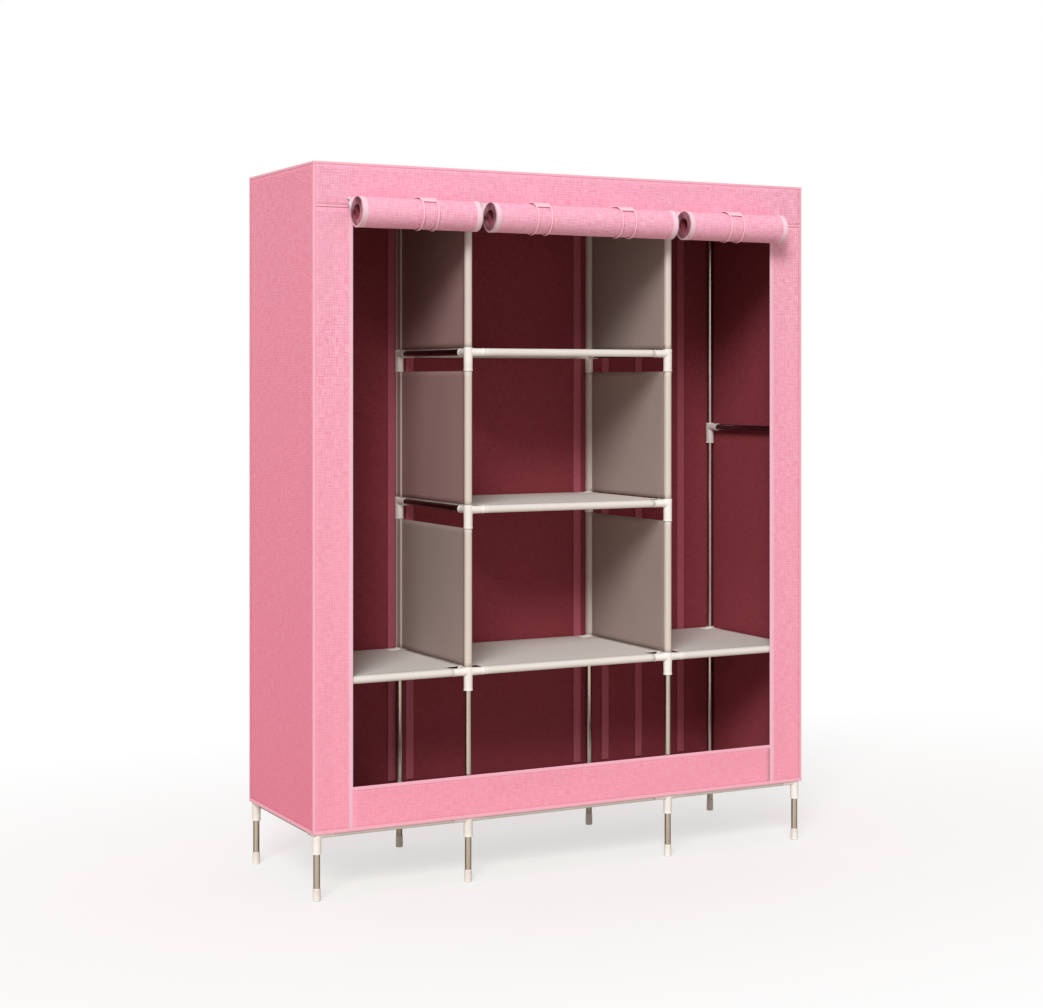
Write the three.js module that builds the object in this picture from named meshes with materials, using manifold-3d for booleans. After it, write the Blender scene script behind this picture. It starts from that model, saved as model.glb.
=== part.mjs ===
// A portable fabric wardrobe. Steel tubes push into moulded connectors and make
// three columns: hanging space on the left and right, shelves in the middle.
// A sewn cover goes over the frame, and its three doors are rolled up and tied.
// Millimetres, +X to the right, +Y to the back, +Z up.
import * as THREE from "three";
import { mergeVertices } from "three/addons/utils/BufferGeometryUtils.js";
import Module from "manifold-3d";

const wasm = await Module();
wasm.setup();

// The cover, and what is left between pieces that touch
const coverWidth = 1400;
const coverDepth = 440;
const coverHeight = 1750; // floor to the top of the cover
const hemHeight = 159; // floor to the lower edge of the cover
const clothThickness = 1.2;
const seatGap = 0.3;

// The front of the cover: a fascia above the doors, a band on each side of them
// and a skirt below them
const fasciaDrop = 106; // top of the cover to the fascia's lower edge
const bandWidth = 100;
const skirtHeight = 103;

// Tubes and connectors
const tubeRadius = 8;
const tubeWall = 0.6;
const slipClearance = 0.3; // tube to the bore or sleeve round it
const socketRadius = 11.5; // the upright sleeve of a connector
const socketDrop = 46.5; // rail axis to the sleeve's lower end
const socketCap = 3.2; // the closed top of the uppermost sleeves
const armRadius = 10;
const armLength = 42; // post axis to the end of a connector's arm

// The middle column and the heights of the rail axes
const middleColumnWidth = 576; // between the axes of the inner posts
const bottomLevel = 157;
const lowLevel = 516;
const midLevel = 914;
const highLevel = 1302;
const sideRailLevel = 1100;

// Hanging rods, seated in tees on the uppermost depth rails
const rodSeatDepth = 30;
const teeHalfLength = 18;

// Foot caps
const footHeight = 30;
const footFloor = 4;
const footTopRadius = 9.2;
const footBottomRadius = 9.8;

// Rolled doors
const rollRadius = 38.5;
const rollAxisDrop = 12; // the fascia's lower edge to the axis of a roll
const rollCoreRadius = 20;
const layerPitch = 2.3; // from one layer of the roll to the next
const doorTuck = 6; // how far a door's top edge goes up over the fascia
const doorLap = 6; // how far the outer doors lap over the side bands
const doorGap = 36; // from one roll to the next
const leftMeetOffset = 16; // inner left post to the middle of the gap
const rightMeetOffset = -2.5; // inner right post to the middle of the gap

// Ties: a cloth tab over the roll and two elastic cords round it
const tabThickness = 1.6;
const cordThickness = 2.6;
const cordWidth = 4.6;
const cordSpacing = 38.5;
const tabRootRise = 1.5; // top edge of a door to the root of a tab
const tieShares = { left: [0.563], middle: [0.259, 0.72], right: [0.478] };
const tabEndAngle = THREE.MathUtils.degToRad(128);
const cordStartAngle = THREE.MathUtils.degToRad(118);

// Zip sliders, parked at the top of each zip
const sliderWidth = 6.8;
const sliderThickness = 4;
const sliderHeight = 12;
const sliderClearance = 0.8; // above the doors' top edge, and beside the doors
const pullThickness = 2;
const pullHeight = 7;
const pullReach = 25; // how far the pull tab stands out from the slider
const pullDroop = 20;

// Facets
const uprightSides = 12;
const railSides = 8;
const rollSteps = 12; // in one turn of a roll

// Places worked out from the sizes above
const frontFace = -coverDepth / 2;
const insideFront = frontFace + clothThickness;
const sideFace = coverWidth / 2;
const skinToPost = clothThickness + seatGap + socketRadius;
const outerX = sideFace - skinToPost;
const innerX = middleColumnWidth / 2;
const postY = coverDepth / 2 - skinToPost;
const topLevel = coverHeight - skinToPost;
const fasciaEdge = coverHeight - fasciaDrop;
const openingX = sideFace - bandWidth;
const boreRadius = tubeRadius + slipClearance;
const sleeveRadius = boreRadius + clothThickness;
const coverUnderside = coverHeight - clothThickness - seatGap;

const columns = { left: [-outerX, -innerX], middle: [-innerX, innerX], right: [innerX, outerX] };
const posts = {
  outer_left: -outerX,
  inner_left: -innerX,
  inner_right: innerX,
  outer_right: outerX,
};
const rows = { front: -postY, back: postY };

const wardrobe = new THREE.Group();

// Materials
const pinkCloth = { color: 0xf9acc2, roughness: 0.9, metalness: 0 };
const whiteCloth = { color: 0xdcd7d4, roughness: 0.85, metalness: 0 };
const whitePlastic = { color: 0xf1ede8, roughness: 0.4, metalness: 0 };
const steel = { color: 0xc4c2bf, roughness: 0.25, metalness: 0.9 };
const tieCloth = { color: 0xfbc6d2, roughness: 0.85, metalness: 0 };
const zipMetal = { color: 0xd6d6da, roughness: 0.3, metalness: 0.8 };

function add(name, geometry, look) {
  const mesh = new THREE.Mesh(geometry, new THREE.MeshStandardMaterial(look));
  mesh.name = name;
  wardrobe.add(mesh);
}

// Solids: three.js makes each shape, manifold-3d joins them and cuts the bores
function solid(geometry) {
  const plain = geometry.index ? geometry.toNonIndexed() : geometry.clone();
  plain.deleteAttribute("normal");
  plain.deleteAttribute("uv");
  const merged = mergeVertices(plain);
  return new wasm.Manifold(
    new wasm.Mesh({
      numProp: 3,
      vertProperties: merged.attributes.position.array,
      triVerts: new Uint32Array(merged.index.array),
    }),
  );
}

function joined(shapes, cuts = []) {
  const whole = shapes.map(solid).reduce((sum, shape) => sum.add(shape));
  const cut = cuts.map(solid).reduce((rest, tool) => rest.subtract(tool), whole);
  const { vertProperties, triVerts } = cut.getMesh();
  const geometry = new THREE.BufferGeometry();
  geometry.setAttribute("position", new THREE.BufferAttribute(vertProperties, 3));
  geometry.setIndex(new THREE.BufferAttribute(triVerts, 1));
  const flat = geometry.toNonIndexed();
  flat.computeVertexNormals();
  return flat;
}

// A prism runs along one axis. Its outline is drawn in the other two, in the
// order y z for x, z x for y, and x y for z.
const unitX = new THREE.Vector3(1, 0, 0);
const unitY = new THREE.Vector3(0, 1, 0);
const unitZ = new THREE.Vector3(0, 0, 1);
const turns = {
  x: new THREE.Matrix4().makeBasis(unitY, unitZ, unitX),
  y: new THREE.Matrix4().makeBasis(unitZ, unitX, unitY),
  z: new THREE.Matrix4(),
};

function prism(axis, from, to, outline, holes = []) {
  const shape = new THREE.Shape(outline);
  shape.holes = holes.map((hole) => new THREE.Path(hole));
  const geometry = new THREE.ExtrudeGeometry(shape, { depth: to - from, bevelEnabled: false });
  geometry.translate(0, 0, from);
  return geometry.applyMatrix4(turns[axis]);
}

const polar = (angle, radius) =>
  new THREE.Vector2(Math.cos(angle), Math.sin(angle)).multiplyScalar(radius);

function circle(centre, radius, sides) {
  return Array.from({ length: sides }, (_, i) => {
    const angle = (i / sides) * 2 * Math.PI;
    return polar(angle, radius).add(centre);
  });
}

// Both ends of an arc, and the corners of a many-sided circle between them
function arc(centre, radius, from, to, sides) {
  const step = (2 * Math.PI) / sides;
  const angles = [from];
  for (let i = Math.floor(from / step) + 1; i * step < to; i += 1) angles.push(i * step);
  return [...angles, to].map((angle) => polar(angle, radius).add(centre));
}

function rod(axis, from, to, across, up, radius) {
  const sides = axis === "z" ? uprightSides : railSides;
  return prism(axis, from, to, circle(new THREE.Vector2(across, up), radius, sides));
}

function block([left, right], [front, back], [low, high]) {
  const outline = [
    new THREE.Vector2(left, front),
    new THREE.Vector2(right, front),
    new THREE.Vector2(right, back),
    new THREE.Vector2(left, back),
  ];
  return prism("z", low, high, outline);
}

// A strip of even thickness along a line of points, drawn as a closed outline
function strip(points, thickness) {
  const sides = [[], []];
  points.forEach((point, i) => {
    const before = points[Math.max(i - 1, 0)];
    const after = points[Math.min(i + 1, points.length - 1)];
    const run = after.clone().sub(before).normalize();
    const normal = new THREE.Vector2(-run.y, run.x).multiplyScalar(thickness / 2);
    sides[0].push(point.clone().add(normal));
    sides[1].unshift(point.clone().sub(normal));
  });
  return sides.flat();
}

// Posts, each an open steel tube from its foot cap to the uppermost connector,
// and the foot caps
const postTop = topLevel + socketRadius - socketCap - seatGap;

function tube(x, y, low, high) {
  const bore = tubeRadius - tubeWall;
  const profile = [
    [bore, low],
    [tubeRadius, low],
    [tubeRadius, high],
    [bore, high],
    [bore, low],
  ].map(([radius, z]) => new THREE.Vector2(radius, z));
  return new THREE.LatheGeometry(profile, uprightSides).rotateX(Math.PI / 2).translate(x, y, 0);
}

function footCap(x, y) {
  const profile = [
    [0, 0],
    [footBottomRadius, 0],
    [footTopRadius, footHeight],
    [boreRadius, footHeight],
    [boreRadius, footFloor],
    [0, footFloor],
  ].map(([radius, z]) => new THREE.Vector2(radius, z));
  return new THREE.LatheGeometry(profile, uprightSides).rotateX(Math.PI / 2).translate(x, y, 0);
}

for (const [row, y] of Object.entries(rows)) {
  for (const [place, x] of Object.entries(posts)) {
    add(`post_${row}_${place}`, tube(x, y, footFloor + seatGap, postTop), steel);
    add(`foot_${row}_${place}`, footCap(x, y), whitePlastic);
  }
}

// A level of the frame: its connectors, its rails along X and its depth rails.
// xs are the axes of the posts that it joins.
function connectorSleeve(x, y, level) {
  return rod("z", level - socketDrop, level + socketRadius, x, y, socketRadius);
}

function postBore(x, y, level, high) {
  return rod("z", level - socketDrop - seatGap, high, x, y, boreRadius);
}

function depthRail(x, level) {
  return [
    rod("y", -postY, postY, level, x, tubeRadius),
    ...Object.values(rows).map((y) => {
      const inward = y - Math.sign(y) * armLength;
      return rod("y", Math.min(y, inward), Math.max(y, inward), level, x, armRadius);
    }),
  ];
}

function crossRails(left, right, y, level) {
  return [
    rod("x", left, right, y, level, tubeRadius),
    rod("x", left, left + armLength, y, level, armRadius),
    rod("x", right - armLength, right, y, level, armRadius),
  ];
}

function levelFrame(xs, level, boreTop, extras = [], extraCuts = []) {
  const shapes = xs.flatMap((x) => depthRail(x, level));
  const cuts = [];
  for (const y of Object.values(rows)) {
    for (const x of xs) {
      shapes.push(connectorSleeve(x, y, level));
      cuts.push(postBore(x, y, level, boreTop));
    }
    for (let i = 1; i < xs.length; i += 1) {
      shapes.push(...crossRails(xs[i - 1], xs[i], y, level));
    }
  }
  return joined([...shapes, ...extras], [...cuts, ...extraCuts]);
}

const everyPost = Object.values(posts);
const innerPosts = columns.middle;
const through = (level) => level + socketRadius + seatGap;

add("frame_bottom", levelFrame(everyPost, bottomLevel, through(bottomLevel)), whitePlastic);
add("frame_low", levelFrame(everyPost, lowLevel, through(lowLevel)), whitePlastic);
add("frame_mid", levelFrame(innerPosts, midLevel, through(midLevel)), whitePlastic);
add("frame_high", levelFrame(innerPosts, highLevel, through(highLevel)), whitePlastic);

// The uppermost level also has the tees that hold the hanging rods. A tee clasps
// a depth rail at half depth, and its arm has a blind bore for the rod's end.
const tees = [];
const teeBores = [];
const rodEnd = armLength - rodSeatDepth + seatGap;
for (const [side, [left, right]] of Object.entries(columns)) {
  if (side === "middle") continue;
  for (const x of [left, right]) {
    tees.push(rod("y", -teeHalfLength, teeHalfLength, topLevel, x, armRadius));
  }
  tees.push(rod("x", left, left + armLength, 0, topLevel, armRadius));
  tees.push(rod("x", right - armLength, right, 0, topLevel, armRadius));
  const boreEnd = armLength - rodSeatDepth;
  teeBores.push(rod("x", left + boreEnd, left + armLength + seatGap, 0, topLevel, boreRadius));
  teeBores.push(rod("x", right - armLength - seatGap, right - boreEnd, 0, topLevel, boreRadius));
  const hangingRod = rod("x", left + rodEnd, right - rodEnd, 0, topLevel, tubeRadius);
  add(`hanging_rod_${side}`, hangingRod, steel);
}
const cappedBore = topLevel + socketRadius - socketCap;
add("frame_top", levelFrame(everyPost, topLevel, cappedBore, tees, teeBores), whitePlastic);

// A rail at mid height ties the two outer posts of each side together
for (const [side, x] of [["left", -outerX], ["right", outerX]]) {
  const sleeves = Object.values(rows).map((y) => connectorSleeve(x, y, sideRailLevel));
  const bores = Object.values(rows).map((y) =>
    postBore(x, y, sideRailLevel, through(sideRailLevel)),
  );
  const rail = joined([...depthRail(x, sideRailLevel), ...sleeves], bores);
  add(`side_rail_${side}`, rail, whitePlastic);
}

// Shelves: a cloth that lies over the depth rails, with a sleeve round the front
// rail and another round the back one. Its corners are cut out for the connectors,
// and its side edges stay clear of the cloth walls between the columns.
function shelf([left, right], level) {
  const low = level + boreRadius;
  const high = level + sleeveRadius;
  const sleeveX = [left + armLength + seatGap, right - armLength - seatGap];
  const clothY = postY - armLength - seatGap;
  const edge = clothThickness / 2 + seatGap;
  const sleeves = Object.values(rows).map((y) => rod("x", ...sleeveX, y, level, sleeveRadius));
  const bores = Object.values(rows).map((y) =>
    rod("x", sleeveX[0] - seatGap, sleeveX[1] + seatGap, y, level, boreRadius),
  );
  const cloth = block(sleeveX, [-postY, postY], [low, high]);
  const wings = block([left + edge, right - edge], [-clothY, clothY], [low, high]);
  return joined([cloth, wings, ...sleeves], bores);
}

for (const [side, span] of Object.entries(columns)) {
  add(`shelf_bottom_${side}`, shelf(span, bottomLevel), whiteCloth);
  add(`shelf_low_${side}`, shelf(span, lowLevel), whiteCloth);
}
add("shelf_mid", shelf(columns.middle, midLevel), whiteCloth);
add("shelf_high", shelf(columns.middle, highLevel), whiteCloth);

// Dividers: cloth walls on both sides of the middle column, one in each of the
// three upper bays, with a sleeve round the front post and round the back one
function divider(x, lower, upper) {
  const low = lower + socketRadius + seatGap;
  const high = upper - socketDrop - seatGap;
  const lip = Math.asin(clothThickness / 2 / sleeveRadius);
  const front = new THREE.Vector2(x, -postY);
  const back = new THREE.Vector2(x, postY);
  const quarter = Math.PI / 2;
  const turn = 2 * Math.PI - lip;
  const outline = [
    ...arc(back, sleeveRadius, lip - quarter, turn - quarter, uprightSides),
    ...arc(front, sleeveRadius, lip + quarter, turn + quarter, uprightSides),
  ];
  const bores = [front, back].map((post) => circle(post, boreRadius, uprightSides));
  return prism("z", low, high, outline, bores);
}

for (const [side, x] of [["left", -innerX], ["right", innerX]]) {
  add(`divider_${side}_low`, divider(x, lowLevel, midLevel), whiteCloth);
  add(`divider_${side}_mid`, divider(x, midLevel, highLevel), whiteCloth);
  add(`divider_${side}_high`, divider(x, highLevel, topLevel), whiteCloth);
}

// Cover panels
const fullX = [-sideFace, sideFace];
const frontY = [frontFace, insideFront];
const sideY = [insideFront + seatGap, -insideFront - seatGap];
const bandZ = [hemHeight, fasciaEdge - seatGap];
const wallZ = [hemHeight, coverUnderside];
const skirtEdge = openingX - seatGap;
const topY = [frontFace, -frontFace];
const backY = [-insideFront, -frontFace];
const leftX = [-sideFace, clothThickness - sideFace];
const rightX = [sideFace - clothThickness, sideFace];
const topZ = [coverHeight - clothThickness, coverHeight];
const skirtZ = [hemHeight, hemHeight + skirtHeight];

add("cover_top", block(fullX, topY, topZ), pinkCloth);
add("cover_back", block(fullX, backY, wallZ), pinkCloth);
add("cover_side_left", block(leftX, sideY, wallZ), pinkCloth);
add("cover_side_right", block(rightX, sideY, wallZ), pinkCloth);
add("cover_fascia", block(fullX, frontY, [fasciaEdge, coverUnderside]), pinkCloth);
add("cover_band_left", block([-sideFace, -openingX], frontY, bandZ), pinkCloth);
add("cover_band_right", block([openingX, sideFace], frontY, bandZ), pinkCloth);
add("cover_skirt", block([-skirtEdge, skirtEdge], frontY, skirtZ), pinkCloth);

// Doors: each is one cloth. Its top edge is sewn to the front of the fascia, and
// from there it runs down behind the roll and winds inwards in even layers.
// The line is the middle of the cloth, from its top edge to its hem.
const rollY = frontFace - seatGap - rollRadius;
const rollZ = fasciaEdge - rollAxisDrop;
const doorTop = fasciaEdge + doorTuck;
const leftMeet = leftMeetOffset - innerX;
const rightMeet = rightMeetOffset + innerX;
const doors = {
  left: [-openingX - doorLap, leftMeet - doorGap / 2],
  middle: [leftMeet + doorGap / 2, rightMeet - doorGap / 2],
  right: [rightMeet + doorGap / 2, openingX + doorLap],
};

const rollAxis = new THREE.Vector2(rollY, rollZ);

function rolledLine() {
  const outer = rollRadius - clothThickness / 2;
  const rounds = (outer - rollCoreRadius) / layerPitch;
  const steps = Math.floor(rounds * rollSteps);
  const line = [new THREE.Vector2(rollY + outer, doorTop)];
  for (let i = 0; i <= steps; i += 1) {
    const round = i / rollSteps;
    line.push(polar(-round * 2 * Math.PI, outer - round * layerPitch).add(rollAxis));
  }
  return line;
}

const doorLine = rolledLine();
for (const [side, [left, right]] of Object.entries(doors)) {
  add(`door_${side}`, prism("x", left, right, strip(doorLine, clothThickness)), pinkCloth);
}

// What the line measures: the cloth's length, and the least gap between layers,
// from each corner to the stretches of the line that lie at least half a turn on
const stretches = doorLine.slice(1).map((end, i) => [doorLine[i], end]);
const clothLength = stretches.reduce((sum, [start, end]) => sum + start.distanceTo(end), 0);
const gaps = doorLine.flatMap((corner, i) =>
  stretches.slice(i + rollSteps / 2).map(([start, end]) => {
    const run = end.clone().sub(start);
    const along = corner.clone().sub(start).dot(run) / run.lengthSq();
    const nearest = run.multiplyScalar(THREE.MathUtils.clamp(along, 0, 1)).add(start);
    return nearest.distanceTo(corner) - clothThickness;
  }),
);
console.log(`door cloth ${clothLength.toFixed(0)} mm long`);
console.log(`least gap between layers ${Math.min(...gaps).toFixed(2)} mm`);

// Ties: the tab starts on the fascia above the door's top edge and goes over the
// roll. The cords go on from its lower corners, under the roll and up behind it,
// to the fascia's lower edge.
function tie(x) {
  const inner = rollRadius + seatGap;
  const tabRadius = inner + tabThickness / 2;
  const cordRadius = inner + cordThickness / 2;
  const root = new THREE.Vector2(frontFace - seatGap - tabThickness / 2, doorTop + tabRootRise);
  const out = root.clone().sub(rollAxis);
  const touch = out.angle() + Math.acos(tabRadius / out.length());
  const tabLine = [root, ...arc(rollAxis, tabRadius, touch, tabEndAngle, rollSteps)];
  const cordEnd = new THREE.Vector2(rollY + cordRadius, fasciaEdge - seatGap);
  const round = arc(rollAxis, cordRadius, cordStartAngle, 2 * Math.PI, rollSteps);
  const cordLine = [...round, cordEnd];
  const half = (cordSpacing + cordWidth) / 2;
  return joined([
    prism("x", x - half, x + half, strip(tabLine, tabThickness)),
    prism("x", x - half, x - half + cordWidth, strip(cordLine, cordThickness)),
    prism("x", x + half - cordWidth, x + half, strip(cordLine, cordThickness)),
  ]);
}

const onDoor = ([left, right], share) => left + share * (right - left);
const [leftTie] = tieShares.left.map((share) => onDoor(doors.left, share));
const [middleTieA, middleTieB] = tieShares.middle.map((share) => onDoor(doors.middle, share));
const [rightTie] = tieShares.right.map((share) => onDoor(doors.right, share));

add("strap_left", tie(leftTie), tieCloth);
add("strap_middle_left", tie(middleTieA), tieCloth);
add("strap_middle_right", tie(middleTieB), tieCloth);
add("strap_right", tie(rightTie), tieCloth);

// Zip sliders: a body on the fascia and a pull tab that stands out beside the
// end of a roll
function zipSlider(x) {
  const back = frontFace - seatGap;
  const low = doorTop + sliderClearance;
  const half = sliderWidth / 2;
  const body = block(
    [x - half, x + half],
    [back - sliderThickness, back],
    [low, low + sliderHeight],
  );
  const hinge = new THREE.Vector2(back - sliderThickness / 2, low + sliderHeight / 2);
  const tip = hinge.clone().add(new THREE.Vector2(-pullReach, -pullDroop));
  const pullHalf = pullThickness / 2;
  const pull = prism("x", x - pullHalf, x + pullHalf, strip([hinge, tip], pullHeight));
  return joined([body, pull]);
}

const besideDoor = sliderClearance + sliderWidth / 2;
add("zip_slider_left", zipSlider(doors.left[0] - besideDoor), zipMetal);
add("zip_slider_middle_left", zipSlider(doors.middle[0] - besideDoor), zipMetal);
add("zip_slider_middle_right", zipSlider(doors.right[0] - besideDoor), zipMetal);
add("zip_slider_right", zipSlider(doors.right[1] + besideDoor), zipMetal);

// The origin is on the floor, under the middle of the whole object's box
const middle = new THREE.Box3().setFromObject(wardrobe).getCenter(new THREE.Vector3());
wardrobe.position.set(-middle.x, -middle.y, 0);

export default wardrobe;
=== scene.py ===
# %% [markdown]
# # A portable fabric wardrobe
#
# Steel tubes push into white moulded connectors and make three columns. A sewn cover of pink
# cloth goes over them, and its three doors are rolled up and tied under the fascia. The solids
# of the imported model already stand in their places, and each finer piece reads its place from
# the solid that it stands for.

# %% Load the frame
import math

import bmesh
import bpy
import numpy as np
from mathutils import Matrix, Vector


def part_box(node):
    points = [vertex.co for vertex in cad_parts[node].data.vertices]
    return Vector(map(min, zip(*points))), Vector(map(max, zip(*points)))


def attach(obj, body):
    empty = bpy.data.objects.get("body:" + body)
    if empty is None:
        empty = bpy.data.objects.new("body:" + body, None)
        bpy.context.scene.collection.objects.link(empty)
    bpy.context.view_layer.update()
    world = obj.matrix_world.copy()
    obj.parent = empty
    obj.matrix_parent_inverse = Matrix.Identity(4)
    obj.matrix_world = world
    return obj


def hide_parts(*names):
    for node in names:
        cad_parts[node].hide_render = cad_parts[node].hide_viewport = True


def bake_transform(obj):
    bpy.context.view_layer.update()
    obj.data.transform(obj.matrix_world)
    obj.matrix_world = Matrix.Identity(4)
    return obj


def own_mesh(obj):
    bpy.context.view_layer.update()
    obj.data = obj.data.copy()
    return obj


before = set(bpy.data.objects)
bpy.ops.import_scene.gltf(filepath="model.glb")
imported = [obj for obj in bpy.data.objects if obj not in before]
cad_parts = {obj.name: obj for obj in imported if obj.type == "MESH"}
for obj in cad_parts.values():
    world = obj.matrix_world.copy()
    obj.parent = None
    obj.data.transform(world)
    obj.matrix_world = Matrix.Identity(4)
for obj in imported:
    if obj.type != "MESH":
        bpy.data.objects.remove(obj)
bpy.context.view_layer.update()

# %% [markdown]
# ## Places
#
# Everything below hangs on a few places: the planes of the cover, the axes of the posts, and
# the heights of the rails. A solid's box gives each of them, so a change of the model moves
# the looks along with it.

# %% Places read from the solids
mm = 0.001
carcass = "frame_and_cover"  # the body of all that stays still


def centre(node_name):
    low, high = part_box(node_name)
    return (low + high) / 2


left, front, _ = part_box("cover_top")[0]
right, back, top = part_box("cover_top")[1]
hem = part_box("cover_skirt")[0].z
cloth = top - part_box("cover_top")[0].z
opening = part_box("cover_band_right")[0].x  # half the width of the front opening
fascia_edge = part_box("cover_fascia")[0].z
skirt_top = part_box("cover_skirt")[1].z

post_places = ("outer_left", "inner_left", "inner_right", "outer_right")
post_x = {place: centre(f"post_front_{place}").x for place in post_places}
row_y = {row: centre(f"post_{row}_inner_left").y for row in ("front", "back")}
middle_y = (row_y["front"] + row_y["back"]) / 2
post_low, post_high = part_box("post_front_inner_left")
tube_radius = (post_high.x - post_low.x) / 2
socket_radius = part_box("frame_low")[1].x - post_x["outer_right"]
level = {
    name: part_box(f"frame_{name}")[1].z - socket_radius
    for name in ("bottom", "low", "mid", "high", "top")
}
socket_drop = level["low"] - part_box("frame_low")[0].z
print(f"cover {right - left:.3f} x {back - front:.3f} x {top:.3f} m, hem at {hem:.3f}")
print("rail heights:", {name: round(height, 3) for name, height in level.items()})

# %% [markdown]
# ## The camera
#
# All upright edges of the wardrobe stay upright in the picture. So the camera is level, and
# the lens is shifted down rather than tilted. It stands in front and to the left.

# %% The camera
camera_place = Vector((-2.4444, -4.5751, 1.2285))
camera_turn = math.radians(27.6)
camera_lens = 68.82
camera_shift = -0.117


def added(name, data):
    """A new object in the scene."""
    made = bpy.data.objects.new(name, data)
    bpy.context.scene.collection.objects.link(made)
    return made


camera = added("camera", bpy.data.cameras.new("camera"))
camera.location = camera_place
camera.rotation_euler = (math.pi / 2, 0, -camera_turn)
camera.data.lens = camera_lens
camera.data.shift_y = camera_shift
bpy.context.scene.camera = camera
bpy.context.scene.view_settings.view_transform = "Standard"
print("camera at", tuple(camera_place))

# %% [markdown]
# ## Building with shader nodes
#
# A material is a small network of nodes. Writing each link by hand hides what it does, so a
# few helpers add a node with its values in one go. An effect that several materials share is
# a node group: a box with named sockets, made once.

# %% Helpers for shader nodes
noise_range = (0.3, 0.7)  # nearly all values of a noise lie between these


def tint(*channels):
    """A colour as read off a screen, 0 to 255, in the linear values that a shader takes."""
    shares = [channel / 255 for channel in channels]
    return (*[s / 12.92 if s <= 0.04045 else ((s + 0.055) / 1.055) ** 2.4 for s in shares], 1)


def node(tree, kind, inputs=None, **settings):
    """Adds a node. inputs maps a socket's name or number to a value or to another socket."""
    made = tree.nodes.new("ShaderNode" + kind)
    for setting, value in settings.items():
        setattr(made, setting, value)
    for socket, value in (inputs or {}).items():
        if isinstance(value, bpy.types.NodeSocket):
            tree.links.new(value, made.inputs[socket])
        else:
            made.inputs[socket].default_value = value
    return made


def maths(tree, operation, *values):
    return node(tree, "Math", dict(enumerate(values)), operation=operation).outputs[0]


def between(tree, factor, first, second):
    """A colour between two others."""
    return node(tree, "Mix", {0: factor, 6: first, 7: second}, data_type="RGBA").outputs[2]


def ranged(tree, value, low, high, to_low=0.0, to_high=1.0):
    sockets = {0: value, 1: low, 2: high, 3: to_low, 4: to_high}
    return node(tree, "MapRange", sockets).outputs[0]


def effect(name, given, wanted):
    """An empty node group, with its given values and its wanted results as sockets."""
    group = bpy.data.node_groups.new(name, "ShaderNodeTree")
    for socket, value in given.items():
        kind = "NodeSocketFloat" if isinstance(value, float) else "NodeSocketVector"
        made = group.interface.new_socket(socket, in_out="INPUT", socket_type=kind)
        made.default_value = value
    for socket in wanted:
        group.interface.new_socket(socket, in_out="OUTPUT", socket_type="NodeSocketFloat")
    inside = group.nodes.new("NodeGroupInput").outputs
    return group, inside, group.nodes.new("NodeGroupOutput").inputs


def use(tree, group, **inputs):
    """Places an effect in a material, and gives its results."""
    return node(tree, "Group", inputs, node_tree=group).outputs


print("helpers: tint, node, maths, between, ranged, effect, use")

# %% [markdown]
# ## Light and floor
#
# The light is plain: a pale, slightly warm sky from all sides, a broad lamp from the front
# left, high up, and a nearer panel lamp beside it, which makes the top a little brighter than
# the foot. Together they light the front at about full strength, so a colour comes out as
# written. What the camera sees behind the wardrobe is white, and so is the sky that steel and
# plastic mirror. The floor turns into that white further out, and near the wardrobe it takes a
# shadow. What it throws back up is dimmer and warmer, and steel mirrors it in a tone of its own.

# %% World and lamps
sky_strength = 0.47
sky_colour = tint(255, 249, 248)
pure_white = (1, 1, 1, 1)
lamp_strength = 1.9
lamp_spread = math.radians(22)
lamp_from = Vector((-0.58, -0.78, 0.66))
panel_lamp_power = 44.0
panel_lamp_size = 1.6
panel_lamp_place = Vector((-2.7, -4.3, 4.1))
panel_lamp_target = Vector((-0.1, -0.2, 1.2))

world = bpy.data.worlds.new("pale_studio")
bpy.context.scene.world = world
world.use_nodes = True
sky = world.node_tree
rays = node(sky, "LightPath").outputs
seen = maths(sky, "MAXIMUM", rays["Is Camera Ray"], rays["Is Glossy Ray"])
seen = maths(sky, "MAXIMUM", seen, rays["Is Transmission Ray"])
strength = ranged(sky, seen, 0.0, 1.0, sky_strength, 1.0)
sky_shade = between(sky, seen, sky_colour, pure_white)
sky.links.new(sky_shade, sky.nodes["Background"].inputs["Color"])
sky.links.new(strength, sky.nodes["Background"].inputs["Strength"])


def shine_from(way, light):
    """Turns a light so that it shines from the side that way points to."""
    light.rotation_euler = way.to_track_quat("Z", "Y").to_euler()


lamp = added("broad_lamp", bpy.data.lights.new("broad_lamp", "SUN"))
lamp.data.energy = lamp_strength
lamp.data.angle = lamp_spread
shine_from(lamp_from, lamp)

panel_lamp = added("panel_lamp", bpy.data.lights.new("panel_lamp", "AREA"))
panel_lamp.data.energy = panel_lamp_power
panel_lamp.data.size = panel_lamp_size
panel_lamp.location = panel_lamp_place
panel_lamp.visible_camera = False
shine_from(panel_lamp_place - panel_lamp_target, panel_lamp)
print(f"sky {sky_strength}, lamp {lamp_strength}, panel lamp {panel_lamp_power} W")

# %% The floor
floor_reach = 40.0
floor_plain = 0.5  # how far out the floor starts to turn white, and where it is white
floor_white = 1.9
floor_slender = 0.6  # the wardrobe is broader than deep, and so is the shaded part of the floor
least_white = 0.6
floor_roughness = 0.75
speckle_scale = 9.0
floor_colour = tint(250, 247, 244)
floor_speckle = tint(245, 242, 239)
floor_bounce = tint(200, 189, 177)
floor_mirrored = tint(204, 193, 176)  # what steel shows of it

floor_mesh = bpy.data.meshes.new("floor")
floor_corners = [
    (x * floor_reach, y * floor_reach, 0) for x, y in ((-1, -1), (1, -1), (1, 1), (-1, 1))
]
floor_mesh.from_pydata(floor_corners, [], [(0, 1, 2, 3)])
added("floor", floor_mesh)

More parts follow.
